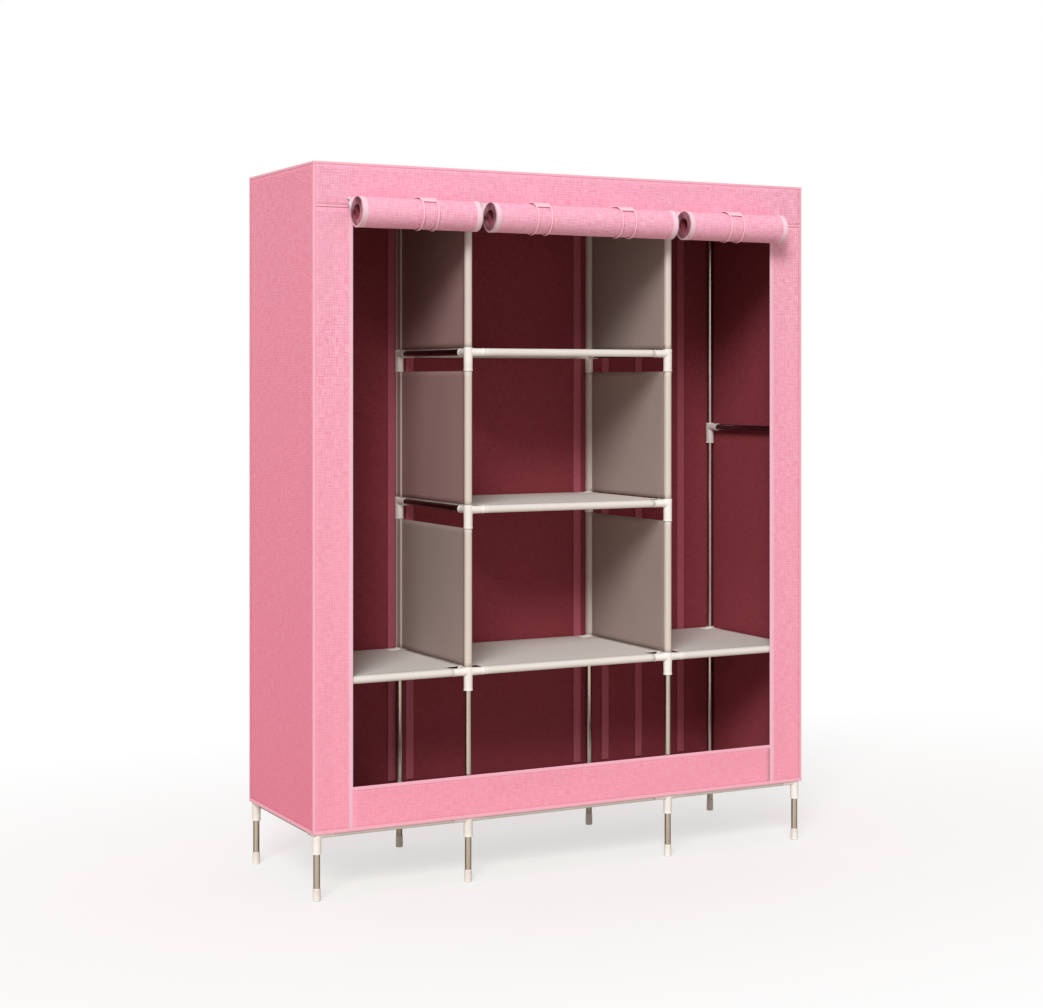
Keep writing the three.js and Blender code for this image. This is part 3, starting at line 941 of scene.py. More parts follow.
def loop(outline, height):
    """An outline of outward and up, carried round the cover at one height."""
    corners = np.array([(left, front), (right, front), (right, back), (left, back)])
    outs = np.array([(-1, -1), (1, -1), (1, 1), (-1, 1)])
    places, sides = [], []
    for i in range(4):
        run = straight(corners[i], corners[(i + 1) % 4], edge_step)[:-1]
        places.append(run)
        sides.append([outs[i]] + [(outs[i] + outs[(i + 1) % 4]) / 2] * (len(run) - 1))
    places, sides = np.concatenate(places), np.concatenate(sides)
    line = np.column_stack([places, np.full(len(places), height)])
    return carried(outline, line, np.column_stack([sides, 0 * sides[:, 0]]), Z, closed=True)


bindings = Shape()
bindings.add(*loop(rim_outline, top))
bindings.add(*loop(hem_outline, hem))
corner_outline = rim_outline * (-1, 1)  # first number along the front or back, second along a side
for x, inward in ((left, 1), (right, -1)):
    for y, away in ((front, 1), (back, -1)):
        line = straight((x, y, hem + hem_width), (x, y, top - tape_width), edge_step)
        bindings.add(*carried(corner_outline, line, X * inward, -Y * away))
piece("edge_bindings", bindings, [binding_tape])
print("bindings round the top, the hem and four corners")

# %% [markdown]
# ## Seams on the front
#
# The fascia is sewn to the bands with a raised seam, and the skirt has a turned hem along its
# top. Both are outlines carried along a line, like the bindings.

# %% Fascia seams and skirt hem
seam_height = 4.6 * mm
seam_swell = 1.9 * mm
seam_edge = 0.3 * mm
cord_height = 1.6 * mm
cord_swell = 0.5 * mm
seam_start = 7.5 * mm  # how far outside the doors it begins

strip_outline = rounded(
    [
        (0, -tape_sink),
        (0, seam_swell),
        (seam_height * 0.4, seam_swell * 0.9),
        (seam_height, seam_edge),
        (seam_height, -tape_sink),
    ],
    0.7 * mm,
)
groove_outline = rounded(
    [(-cord_height, -tape_sink), (-cord_height, cord_swell), (0, cord_swell), (0, -tape_sink)],
    0.4 * mm,
)
seams, grooves = Shape(), Shape()
zip_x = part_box("door_right")[1].x  # the outer edge of the doors
for start, end in ((-zip_x - seam_start, left + tape_width), (zip_x + seam_start, right - tape_width)):
    line = straight((start, front, fascia_edge), (end, front, fascia_edge), edge_step)
    seams.add(*carried(strip_outline, line, Z, -Y))
    grooves.add(*carried(groove_outline, line, Z, -Y))
piece("fascia_grooves", grooves, [thread])
line = straight((-opening, front, skirt_top), (opening, front, skirt_top), edge_step)
seams.add(*carried(hem_outline * (1, -1), line, -Y, Z))
piece("front_seams", seams, [binding_tape])
print("a seam on each side of the doors, and the skirt's hem")

# %% [markdown]
# ## Zips on the bands
#
# A zip tape runs down the inner edge of each band. The slider of each zip straddles a row of
# teeth, so the teeth stand where the sliders' solids are. Each tooth is a small block, and
# every second one is a little to the side, as the two halves of a zip are.

# %% Zip tapes and teeth
slider_x = centre("zip_slider_right").x
tooth_pitch = 2.0 * mm
tooth_wide, tooth_long = 2.8 * mm, 1.2 * mm  # across the zip and along it
tooth_deep = 1.9 * mm
tooth_aside = 0.3 * mm
tooth_lift = 0.2 * mm  # how far the teeth stand out of the cloth
tape_beyond = 0.4 * mm
tape_reach = slider_x - tooth_wide / 2 - opening

tape_outline = rounded(
    [
        (-tape_beyond, -cloth - tape_thick),
        (-tape_beyond, tape_sink),
        (tape_reach, tape_sink),
        (tape_reach, -tape_sink),
        (tape_sink, -tape_sink),
        (tape_sink, -cloth - tape_thick),
    ],
    0.3 * mm,
)
tooth = rounded(plate(tooth_wide, tooth_long), 0.4 * mm, 1)
zip_foot = hem + hem_width
teeth_in_row = int((fascia_edge - zip_foot) / tooth_pitch)
tapes, teeth = Shape(), Shape()
for hand in (-1, 1):
    x = hand * opening
    line = straight((x, front, zip_foot), (x, front, fascia_edge), edge_step)
    tapes.add(*carried(tape_outline, line, X * hand, -Y))
    for i in range(teeth_in_row):
        x = hand * slider_x + (-1) ** i * tooth_aside
        z = zip_foot + (i + 0.5) * tooth_pitch
        line = [(x, front + tooth_deep - tooth_lift, z), (x, front - tooth_lift, z)]
        teeth.add(*carried(tooth, line, X, Z))
piece("zip_tapes", tapes, [band_tape])
piece("zip_teeth", teeth, [zip_plastic], crease=30.0)
print("zips of", teeth_in_row, "teeth")

# %% [markdown]
# ## Stitches
#
# A seam reads as sewn when its thread shows. Each stitch is a tiny spindle that lies on the
# cloth, and a row of them follows each tape a millimetre inside its edge.

# %% Rows of stitches
stitch_long = 3.2 * mm
stitch_gap = 1.2 * mm
stitch_thick = 0.55 * mm
stitch_flat = 0.8  # its height as a share of its width
inset = 1.3 * mm
zip_stitch = 4.5 * mm  # from a zip's middle to the stitches outside it


def stitch_row(shape, start, end, normal):
    """Stitches from start to end on a surface that faces along normal."""
    start, end, normal = [np.asarray(way, float) for way in (start, end, normal)]
    run = (end - start) / np.linalg.norm(end - start)
    wide, high = np.cross(run, normal) * stitch_thick, normal * stitch_thick * stitch_flat
    for i in range(int(np.linalg.norm(end - start) / (stitch_long + stitch_gap))):
        middle = start + run * (i + 0.5) * (stitch_long + stitch_gap)
        ring = [middle + wide, middle + high, middle - wide, middle - high]
        ends = [middle - run * stitch_long / 2, middle + run * stitch_long / 2]
        faces = [(4, (j + 1) % 4, j) for j in range(4)] + [(5, j, (j + 1) % 4) for j in range(4)]
        shape.add(ring + ends, faces)


rows = Shape()
low_row, high_row = hem + hem_width - inset, top - tape_width + inset
upright = hem + hem_width, top - tape_width
for x, face in ((left, -X), (right, X)):
    plane = x + face[0] * tape_thick
    for z in (high_row, low_row):
        stitch_row(rows, (plane, front, z), (plane, back, z), face)
    for y in (front + tape_width - inset, back - tape_width + inset):
        stitch_row(rows, (plane, y, upright[0]), (plane, y, upright[1]), face)
for y, face in ((front, -Y), (back, Y)):
    plane = y + face[1] * tape_thick
    for z in (high_row, low_row):
        stitch_row(rows, (left, plane, z), (right, plane, z), face)
    for x in (left + tape_width - inset, right - tape_width + inset):
        stitch_row(rows, (x, plane, upright[0]), (x, plane, upright[1]), face)
plane, skirt_row = front - tape_thick, skirt_top - hem_width + inset
stitch_row(rows, (-opening, plane, skirt_row), (opening, plane, skirt_row), -Y)
for x in (-slider_x - zip_stitch, slider_x + zip_stitch):
    stitch_row(rows, (x, front, zip_foot), (x, front, fascia_edge), -Y)
piece("cover_stitches", rows, [thread], crease=80.0)
print(len(rows.points), "stitches")

# %% [markdown]
# ## Seam tapes inside
#
# The back panel is joined from narrow lengths of cloth, and each joint is covered with a tape
# on the inside. They show as lighter upright stripes between the posts. No solid stands for
# them, so their places across the back are listed.

# %% Tapes over the back panel's joints
joint_places = [-0.306, -0.254, 0.255, 0.345, 0.453, 0.593]
joint_width = 22 * mm
joint_head = 12 * mm  # from the top of the cover down to a tape's end
joint_outline = rounded(
    [(-joint_width / 2, 0), (-joint_width / 2, tape_thick), (joint_width / 2, tape_thick),
     (joint_width / 2, 0)],
    0.4 * mm,
)
inside_tapes = Shape()
inner_back = back - cloth - sway * 1.7  # clear of the panel where it gives most
for x in joint_places:
    foot, head = (x, inner_back, hem + 2 * hem_width), (x, inner_back, top - joint_head)
    inside_tapes.add(*carried(joint_outline, straight(foot, head, edge_step), X, -Y))
# The tapes take the deeper inside finish: painted shade.
piece("inside_seam_tapes", inside_tapes, [inside_tape_shaded])
print(len(joint_places), "tapes inside the back")

# %% [markdown]
# ## The rolled doors
#
# Each door is one cloth, rolled inwards from its hem. Its line is a spiral: the radius shrinks
# by one layer with every turn. A sheet that follows this line has true layers, and its ends
# show them.

# %% The spiral
layer_pitch = 2.3 * mm
core_radius = 19.3 * mm
roll_drop = 12 * mm  # the fascia's lower edge to the axis of a roll
round_steps = 48
roll_low, roll_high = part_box("door_left")
roll_y = (roll_low.y + roll_high.y) / 2
roll_z = fascia_edge - roll_drop
roll_axis = np.array([0, roll_y, roll_z])
roll_radius = (roll_high.y - roll_low.y) / 2
line_radius = roll_radius - cloth / 2
rounds = (line_radius - core_radius) / layer_pitch

spiral = np.linspace(0, rounds, int(rounds * round_steps) + 1)
spiral_radius = line_radius - spiral * layer_pitch
spiral_step = 2 * math.pi * spiral_radius * (spiral[1] - spiral[0])
spiral_length = np.cumsum(spiral_step) - spiral_step[0]
print(f"{rounds:.2f} turns, {spiral_length[-1]:.3f} m of cloth on each roll")

# %% [markdown]
# Hands never roll evenly, so the layers' ends wander by a millimetre, and the roll is pinched
# a little where the cords go round it. The pale zip tapes run along both side edges of the
# cloth, so on the roll they are the light rings at its ends.

# %% The rolls
end_tape = 12.5 * mm
tape_raise = 0.45 * mm
tape_slope = 0.8 * mm  # over which it rises
end_wander = 0.9 * mm
wander_range = (-1, 0.2)  # more of the layers lie in than out
end_teeth = 1.6 * mm  # how far the teeth stand out past the tape
pale_rounds = 1.6
pinch_deep, pinch_wide = 0.9 * mm, 7 * mm
lump_deep, lump_wide, lump_clear = 0.25 * mm, 31 * mm, 20 * mm
column_step, column_clear = 7 * mm, 4 * mm
cord_wide = 4.6 * mm
tie_names = {"left": ["left"], "middle": ["middle_left", "middle_right"], "right": ["right"]}
strap_low, strap_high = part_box("strap_left")
cord_offset = (strap_high.x - strap_low.x) / 2 - cord_wide / 2


def roll_columns(low, high):
    """Places across a door, closer together at the edges of its tapes."""
    edge = np.array([0, tape_slope, end_tape - tape_slope, end_tape, end_tape + tape_slope])
    clear = end_tape + column_clear
    middle = np.linspace(low + clear, high - clear, int((high - low) / column_step))
    return np.concatenate([low + edge, middle, high - edge[::-1]])


def on_tapes(flat, low, high):
    """Which cells of a door's grid lie on its zip tapes."""
    middles = (flat[:-1, :-1, 0] + flat[1:, 1:, 0]).ravel() / 2
    return (middles < low + end_tape) | (middles > high - end_tape)


def make_roll(side):
    low, high = [corner.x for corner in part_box(f"door_{side}")]
    low, high = low + end_teeth, high - end_teeth
    wanders = dice.uniform(*wander_range, math.ceil(rounds) + 1)
    wander = np.interp(spiral, np.arange(len(wanders)), wanders)
    cords = [centre(f"strap_{name}").x + way for name in tie_names[side]
             for way in (-cord_offset, cord_offset)]

    def place(x, length):
        turn = np.interp(length, spiral_length, spiral)
        near_end = np.minimum(x - low, high - x)
        tape = tape_raise * eased((end_tape + tape_slope / 2 - near_end) / tape_slope)
        pinch = sum(pinch_deep * np.exp(-(((x - cord) / pinch_wide) ** 2)) for cord in cords)
        lump = lump_deep * np.sin(x / lump_wide + 2 * turn) * eased(near_end / lump_clear)
        # The first sixth of a turn stays true, since the curtain joins it.
        start = eased(turn * 6)
        # The last fifth of a turn, at the core, has neither the tape's step nor the pinch.
        radius = line_radius - turn * layer_pitch
        radius = radius + (tape - pinch * start) * (turn < rounds - 0.2) + lump * start
        shift = np.interp(turn, spiral, wander) * end_wander * start
        ends = (x - (low + high) / 2) / ((high - low) / 2)
        angle = -2 * math.pi * turn
        # Only the last fifth of the way to each end wanders.
        return (
            x + shift * np.sign(ends) * eased((abs(ends) - 0.8) * 5),
            roll_y + radius * np.cos(angle),
            roll_z + radius * np.sin(angle),
        )

    points, faces, flat = grid(roll_columns(low, high), spiral_length, place)
    taped = on_tapes(flat, low, high)
    # Only the outermost rounds show the tape's pale face. Further in it takes a dark finish,
    # painted shade.
    deep = (flat[:-1, :-1, 1].ravel() > np.interp(pale_rounds, spiral, spiral_length)) & taped
    shape = Shape().add(points, faces, flat, (2 * taped + 2 * deep).tolist())
    # The roll takes the paler finish, painted light. Its inside, its tapes' far sides and inner rounds
    # take dark ones, painted shade.
    made = piece(f"{side}_door_roll", shape,
                 [pink_lit_rolls, inside_painted_shade, zip_tape, roll_end_painted_shade, roll_end_painted_shade, roll_end_painted_shade],
                 [f"door_{side}"], body=f"door_{side}_roll", sheet=True)
    thicken(made, cloth, 0, inside=1)
    return made, low, high


rolls = {side: make_roll(side) for side in ("left", "middle", "right")}
print({side: f"{high - low:.3f} m" for side, (_, low, high) in rolls.items()})

# %% [markdown]
# ## Teeth on the rolls' ends
#
# The zip's teeth sit on the edge of the tape and catch the light in the spiral's end. Each is
# a small block, set every two millimetres along the cloth. Those further in than the pale
# rounds take a deeper finish: painted shade.

# %% Teeth round the ends of the rolls
roll_tooth_long, roll_tooth_thick = 1.2 * mm, 1.6 * mm
roll_tooth_root = 0.8 * mm
roll_tooth_lift = 0.3 * mm


def roll_teeth(side, low, high):
    shape = Shape()
    outer_length = np.interp(pale_rounds, spiral, spiral_length)
    outline = plate(roll_tooth_long, roll_tooth_thick)
    for length in np.arange(tooth_pitch, spiral_length[-1], tooth_pitch):
        turn = np.interp(length, spiral_length, spiral)
        angle = -2 * math.pi * turn
        out = np.array([0, math.cos(angle), math.sin(angle)])
        along = np.array([0, math.sin(angle), -math.cos(angle)])
        spot = roll_axis + out * (line_radius - turn * layer_pitch + roll_tooth_lift)
        for edge, way in ((low, -1), (high, 1)):
            line = [spot + X * (edge - way * roll_tooth_root), spot + X * (edge + way * end_teeth)]
            # Teeth further in take the deeper finish: painted shade.
            shape.add(*carried(outline, line, along, out), finish=int(length > outer_length))
    return piece(f"{side}_roll_teeth", shape, [zip_plastic, zip_plastic_shaded],
                 body=f"door_{side}_roll", crease=30.0)


tooth_pieces = {side: roll_teeth(side, low, high) for side, (_, low, high) in rolls.items()}
print({side: len(made.data.polygons) for side, made in tooth_pieces.items()}, "faces of teeth")

# %% [markdown]
# ## The curtains
#
# Between the fascia and the roll a short strip of each door runs down behind the roll. When a
# door is let down, this strip becomes the curtain: its top stays on the fascia and its foot goes
# down with the roll. It has many rows although it is only eighteen millimetres high at rest.
# Faint upright folds are in it from the start.

# %% Curtains that join the fascia to the rolls
curtain_rows = 64
curtain_step = 6 * mm
curtain_seam = 6 * mm  # how far below its top it is held flat
fold_length = 0.085
fold_drift = 0.21  # the folds are not evenly spaced, and this is how slowly that changes
fold_deep = 1.8 * mm


def make_curtain(side, low, high):
    curtain_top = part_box(f"door_{side}")[1].z
    u = np.unique(np.concatenate([np.linspace(low, high, int((high - low) / curtain_step)),
                                  [low + end_tape, high - end_tape]]))
    v = np.linspace(roll_z, curtain_top, curtain_rows)
    phase = dice.uniform(0, 2 * math.pi)

    def place(x, z):
        behind = line_radius - np.sqrt(line_radius**2 - (z - roll_z) ** 2)
        free = np.minimum(behind * 0.7, fold_deep) * eased((curtain_top - z) / curtain_seam)
        drift = 0.35 * np.sin(x / fold_drift + phase)
        folds = 0.5 + 0.5 * np.sin(2 * math.pi * (x / fold_length + drift) + phase)
        return x, roll_y + line_radius - free * folds, z

    points, faces, flat = grid(u, v, place)
    shape = Shape().add(points, faces, flat, (2 * on_tapes(flat, low, high)).tolist())
    curtain = piece(f"{side}_door_curtain", shape,
                    [pink_hanging, pink_hanging, zip_tape_hanging, zip_tape_hanging],
                    [f"door_{side}"], body=None, sheet=True)
    thicken(curtain, cloth, 0, inside=1)
    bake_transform(curtain)
    return curtain


curtains = {side: make_curtain(side, low, high) for side, (_, low, high) in rolls.items()}
print(len(curtains), "curtains")

# %% [markdown]
# A roll gets thin as its door is let down, because its cloth has gone into the curtain. Here
# each roll is made final, thickness and all, and it and its teeth get meshes of their own.

# %% Rolls made final
for side, (made, low, high) in rolls.items():
    settle(made)
    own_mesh(made)
    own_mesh(tooth_pieces[side])
print("rolls made final")

# %% [markdown]
# ## The ties
#
# A tab of tape is sewn to the fascia above each roll and lies over it. From its front corners
# two elastic cords go down, round under the roll and up again behind it. The cords' back ends
# are out of sight, but they are made all the same, because the wardrobe is seen from all sides.

# %% Tabs
tab_thick = 1.6 * mm
tab_end = math.radians(135)
tab_root = 1.5 * mm  # how far above the roll it is sewn on
tab_steps = 26
tie_gap = 0.3 * mm
tie_step = 3 * mm
tab_corner = 6 * mm
tab_rim = 0.5 * mm  # how much thicker its rim is


def round_roll(radius, start, end, steps):
    """Points of an arc round the roll in the plane across it, and the way out at each."""
    angles = np.linspace(start, end, steps)
    out = np.column_stack([0 * angles, np.cos(angles), np.sin(angles)])
    return roll_axis + out * radius, out


def tab_line(side):
    """The tab's way from the fascia over the roll, and the way out at each of its points."""
    radius = roll_radius + tie_gap + tab_thick / 2
    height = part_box(f"door_{side}")[1].z + tab_root
    root = np.array([0, front - tie_gap - tab_thick / 2, height])
    out = root - roll_axis
    touch = math.atan2(out[2], out[1]) + math.acos(radius / np.linalg.norm(out))
    arc_line, arc_out = round_roll(radius, touch, tab_end, tab_steps)
    rise = straight(root, arc_line[0], tie_step)[:-1]
    ways = np.concatenate([np.repeat(arc_out[:1], len(rise), 0), arc_out])
    return np.concatenate([rise, arc_line]), ways


def make_tab(name, side, middle_x, half):
    line, ways = tab_line(side)
    length = lengths_along(line)

    def place(x, run):
        spot = [np.interp(run, length, line[:, i]) for i in range(3)]
        way = [np.interp(run, length, ways[:, i]) for i in range(3)]
        from_side, from_front = half - abs(x), length[-1] - run
        # The front corners are rounded off, and the tab's rim is a little thicker.
        corner = np.clip(tab_corner - from_side, 0, None) * np.clip(tab_corner - from_front, 0, None)
        pull = corner / tab_corner * 0.35
        lift = tab_rim * eased((2.5 * mm - np.minimum(from_side, from_front)) / (1.5 * mm))
        return (
            middle_x + x - np.sign(x) * pull,
            spot[1] + way[1] * lift,
            spot[2] + way[2] * lift + pull * 0.6,
        )

    inner = half - 7 * mm
    u = np.concatenate([np.linspace(-half, -half + 4 * mm, 5), np.linspace(-inner, inner, 9),
                        np.linspace(half - 4 * mm, half, 5)])
    v = np.unique(np.concatenate([np.linspace(0, length[-1] - 5 * mm, tab_steps),
                                  np.linspace(length[-1] - 4 * mm, length[-1], 6)]))
    tab = piece(f"{name}_tie_tab", Shape().add(*grid(u, v, place)), [tie_tape],
                [f"strap_{name}"], sheet=True)
    thicken(tab, tab_thick, 0)
    settle(tab)
    return tab, float(length[-1])


print("tabs run", f"{lengths_along(tab_line('left')[0])[-1]:.4f}", "m over the roll")

# %% Cords, and the whole tie
cord_thick = 2.6 * mm
cord_start = math.radians(118)
cord_steps = 60


def make_cords(name, middle_x, half):
    cords = Shape()
    radius = roll_radius + tie_gap + cord_thick / 2
    arc_line, arc_out = round_roll(radius, cord_start, 2 * math.pi, cord_steps)
    tail_end = arc_line[-1] + Z * (fascia_edge - tie_gap - roll_z)
    tail = straight(arc_line[-1], tail_end, tie_step)[1:]
    cord_line = np.concatenate([arc_line, tail])
    cord_out = np.concatenate([arc_out, np.repeat(arc_out[-1:], len(tail), 0)])
    angles = np.linspace(0, 2 * math.pi, 12, endpoint=False)
    oval = np.column_stack([np.cos(angles) * cord_wide / 2, np.sin(angles) * cord_thick / 2])
    for x in (-half + cord_wide / 2, half - cord_wide / 2):
        cords.add(*carried(oval, cord_line + X * (middle_x + x), X, cord_out))
    return piece(f"{name}_tie_cords", cords, [elastic], [f"strap_{name}"], crease=60.0)


def make_tie(name, side):
    low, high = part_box(f"strap_{name}")
    middle_x, half = (low.x + high.x) / 2, (high.x - low.x) / 2
    tab, length = make_tab(name, side, middle_x, half)
    cord = make_cords(name, middle_x, half)
    for made in (tab, cord):
        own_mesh(made)


for side, names in tie_names.items():
    for name in names:
        make_tie(name, side)
print(sum(map(len, tie_names.values())), "ties")

# %% [markdown]
# ## Zip sliders
#
# A slider is a shield-shaped body of two plates on a post, with a bridge over its top, and
# from the bridge hangs a pull. The pull stands out beside the end of the roll. Its plate is
# broad on the side away from the roll, so that it shows as a bright spot and never rubs.

# %% Sliders
shield_gap = 0.4 * mm  # from the cover's face to the back plate
shield_thick = 1.1 * mm
slider_deep = 4 * mm
plate_thick = 1.3 * mm  # the front plate
slider_lift = 0.8 * mm  # from the roll's top to the foot of a slider's body
bridge_rise = 1.9 * mm
pull_near = 3.0 * mm  # from the slider's middle towards the roll, and away from it
pull_far = 8.6 * mm
pull_thick = 1.8 * mm
pull_neck = 2.2 * mm


def slider_body(x, half, face, body_low, tall):
    """Two shields, the post between them and the bridge over them."""
    shape = Shape()
    waist_high, foot_half = tall * 0.45, half * 0.55
    shield = rounded(
        [(-half, tall), (half, tall), (half, waist_high), (foot_half, 0), (-foot_half, 0),
         (-half, waist_high)],
        1.6 * mm,
    )
    post = rounded(plate(2 * mm, tall * 0.5, (0, tall * 0.55)), 0.5 * mm)
    for outline, near, far in (
        (shield, shield_gap, shield_gap + shield_thick),
        (shield, slider_deep - plate_thick, slider_deep),
        (post, mm, slider_deep - mm),
    ):
        line = [(x, face - near, body_low), (x, face - far, body_low)]
        shape.add(*carried(outline, line, X, Z))
    share = np.linspace(0, 1, 11)
    bridge_line = np.column_stack([
        np.full(len(share), x),
        face - slider_deep - bridge_rise * np.sin(math.pi * share),
        body_low + tall * (0.15 + 0.7 * share),
    ])
    bar = rounded(plate(2.2 * mm, mm), 0.3 * mm)
    return shape.add(*carried(bar, bridge_line, X, -Y))


def slider_pull(hinge, tip, away):
    """The pull's plate, from the bridge to its tip."""
    length = np.linalg.norm(tip - hinge)
    run = (tip - hinge) / length
    lift = np.cross(X, run) * pull_thick / 2
    neck_end, blade_start = length * 0.3, length * 0.42
    blade = rounded(
        [(0, -pull_neck), (neck_end, -pull_neck), (blade_start, -pull_near), (length, -pull_near),
         (length, pull_far), (blade_start, pull_far), (neck_end, pull_neck), (0, pull_neck)],
        2.2 * mm,
    )
    return carried(blade, [hinge - lift, hinge + lift], run, X * away)


def make_slider(name, away):
    low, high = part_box(f"zip_slider_{name}")
    x, half = (low.x + high.x) / 2, (high.x - low.x) / 2
    # A body is as high as its node's upper part: the pull droops below it.
    body_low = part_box("door_left")[1].z + slider_lift
    tall = high.z - body_low
    shape = slider_body(x, half, high.y, body_low, tall)
    hinge = np.array([x, high.y - slider_deep - bridge_rise + mm, body_low + tall / 2])
    tip = np.array([x, low.y - 1.5 * mm, low.z + 1.0 * mm])
    shape.add(*slider_pull(hinge, tip, away))
    made = piece(f"{name}_zip_slider", shape, [zip_steel], [f"zip_slider_{name}"],
                 body=f"zip_{name}", crease=30.0)
    bevel = made.modifiers.new("soft_edges", "BEVEL")
    bevel.width = 0.25 * mm
    bevel.segments = 2


for name, away in (("left", -1), ("middle_left", -1), ("middle_right", -1), ("right", 1)):
    make_slider(name, away)
print("4 sliders")

# %% [markdown]
# ## Connectors
#
# A connector is one moulded piece: an upright socket that the posts pass through, and an arm
# for each rail. Each part is an outline turned about its own axis. A boolean union joins them
# as the mould does, so nothing overlaps inside, and a last cut opens the bore for the post.
# One mesh of each kind is made, and its copies are placed along the rails.

# %% Solids to join and cut
hair = 0.01 * mm  # so near its axis that a turned outline closes to a cap
past = 5 * mm  # how far a cutter reaches past what it cuts
arm_radius = 10 * mm
arm_length = 42 * mm
arm_bore_floor = 13 * mm
bore_radius = tube_radius + 0.3 * mm
lip = 3.2 * mm  # the collar at each mouth
waist = 0.7 * mm  # how much thinner a part is behind its collar
bevel_size = 0.6 * mm
cap_thick = 3.2 * mm
fine = 40


def solid_object(outline, matrix=Matrix.Identity(4)):
    """An outline turned about Z and then placed, as an object."""
    form = Shape().add(*turned(outline, fine, closed=False))
    mesh = Shape().add_placed(form, matrix).mesh("blank")
    face_outwards(mesh)
    return added("blank", mesh)


def aim(way):
    """A matrix that turns Z into a way."""
    return Vector(way).to_track_quat("Z", "Y").to_matrix().to_4x4()


def combine(base, other, operation):
    """Joins or cuts a solid with another by an exact boolean, and removes the other."""
    modifier = base.modifiers.new("combine", "BOOLEAN")
    modifier.operation = operation
    modifier.solver = "EXACT"
    modifier.object = other
    settle(base)
    bpy.data.objects.remove(other)


def taken_as_shape(made):
    """The mesh of an object as a shape. The object is removed."""
    shape = Shape().add([tuple(v.co) for v in made.data.vertices],
                        [tuple(face.vertices) for face in made.data.polygons])
    bpy.data.objects.remove(made)
    return shape


def bore_outline(low, high):
    return [(hair, low), (bore_radius, low), (bore_radius, high), (hair, high)]


print("bores of", round(2 * bore_radius / mm, 1), "mm for tubes of", round(2 * tube_radius / mm, 1))

# %% Connector kinds
# An arm runs along Z from the post's axis and has a blind bore for the rail's end.
arm_outline = [
    (hair, 0),
    (arm_radius + 0.4 * mm, 0),
    (arm_radius + 0.4 * mm, socket_radius),
    (arm_radius - waist * 0.3, socket_radius + 3 * mm),
    (arm_radius - waist, arm_length - lip - 1.2 * mm),
    (arm_radius, arm_length - lip),
    (arm_radius, arm_length - 0.7 * mm),
    (arm_radius - bevel_size, arm_length),
    (bore_radius + 0.5 * mm, arm_length),
    (bore_radius, arm_length - bevel_size),
    (bore_radius, arm_bore_floor),
    (hair, arm_bore_floor),
]
socket_outline = [
    (hair, -socket_drop),
    (socket_radius - bevel_size, -socket_drop),
    (socket_radius, -socket_drop + 0.7 * mm),
    (socket_radius, -socket_drop + lip),
    (socket_radius - waist, -socket_drop + lip + 1.2 * mm),
    (socket_radius - waist * 0.6, 0),
    (socket_radius, socket_radius - 2.2 * mm),
    (socket_radius - 0.3 * mm, socket_radius - 0.7 * mm),
    (socket_radius - 1.1 * mm, socket_radius),
    (hair, socket_radius),
]
kinds = {}


def connector(ways, capped):
    """A connector at the origin, with an arm along each way, as a shape that is made once."""
    key = (tuple(map(tuple, ways)), capped)
    if key not in kinds:
        base = solid_object(socket_outline)
        for way in ways:
            combine(base, solid_object(arm_outline, aim(way)), "UNION")
        high = socket_radius - cap_thick if capped else socket_radius + past
        combine(base, solid_object(bore_outline(-socket_drop - past, high)), "DIFFERENCE")
        kinds[key] = taken_as_shape(base)
    return kinds[key]


print("an arm reaches", arm_length / mm, "mm from the post's axis")

# %% [markdown]
# ## Rails, posts and feet
#
# The rails are open tubes that end inside the arms. Each post runs from its foot cap to the
# top, and the caps are pushed on from below. A hanging rod is such a tube too, and a tee on the
# depth rail holds each of its ends. All tubes are one outline, turned and then laid in place.

# %% Tubes and the frame's levels
tube_wall = 0.6 * mm
tube_sides = 28
rim_soft = 0.25 * mm
rail_end = arm_bore_floor + 0.5 * mm  # from a post's axis to the end of a rail


def add_tube(shape, start, end):
    """An open tube from start to end, its rims a little rounded."""
    start, end = Vector(start), Vector(end)
    bore, length = tube_radius - tube_wall, (end - start).length
    outline = [
        (bore, rim_soft), (bore + rim_soft, 0),
        (tube_radius - rim_soft, 0), (tube_radius, rim_soft),
        (tube_radius, length - rim_soft), (tube_radius - rim_soft, length),
        (bore + rim_soft, length), (bore, length - rim_soft),
    ]
    form = Shape().add(*turned(outline, tube_sides))
    shape.add_placed(form, Matrix.Translation(start) @ aim(end - start))


def frame_level(name, node_name, height, xs, capped=False, cross=True):
    """The connectors and rails of one level, as two pieces."""
    joints, rails = Shape(), Shape()
    for row, y in row_y.items():
        inward = Y if row == "front" else -Y
        for i, x in enumerate(xs):
            ways = [inward]
            if cross and i > 0:
                ways.append(-X)
            if cross and i < len(xs) - 1:
                ways.append(X)
            joints.add_placed(connector(ways, capped), Matrix.Translation((x, y, height)))
        if cross:
            for a, b in zip(xs, xs[1:]):
                add_tube(rails, (a + rail_end, y, height), (b - rail_end, y, height))
    for x in xs:
        add_tube(rails, (x, row_y["front"] + rail_end, height), (x, row_y["back"] - rail_end, height))
    piece(f"{name}_connectors", joints, [plastic], [node_name], crease=28.0)
    piece(f"{name}_rails", rails, [tube_steel], [node_name])
    return len(joints.points)


all_x = list(post_x.values())
inner_x = all_x[1:3]
made_count = 0
for name, xs in (("bottom", all_x), ("low", all_x), ("mid", inner_x), ("high", inner_x), ("top", all_x)):
    made_count += frame_level(name, f"frame_{name}", level[name], xs, capped=name == "top")
for side, x in (("left", all_x[0]), ("right", all_x[3])):
    side_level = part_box(f"side_rail_{side}")[1].z - socket_radius
    made_count += frame_level(f"{side}_side", f"side_rail_{side}", side_level, [x], cross=False)
print(made_count, "connectors of", len(kinds), "kinds")

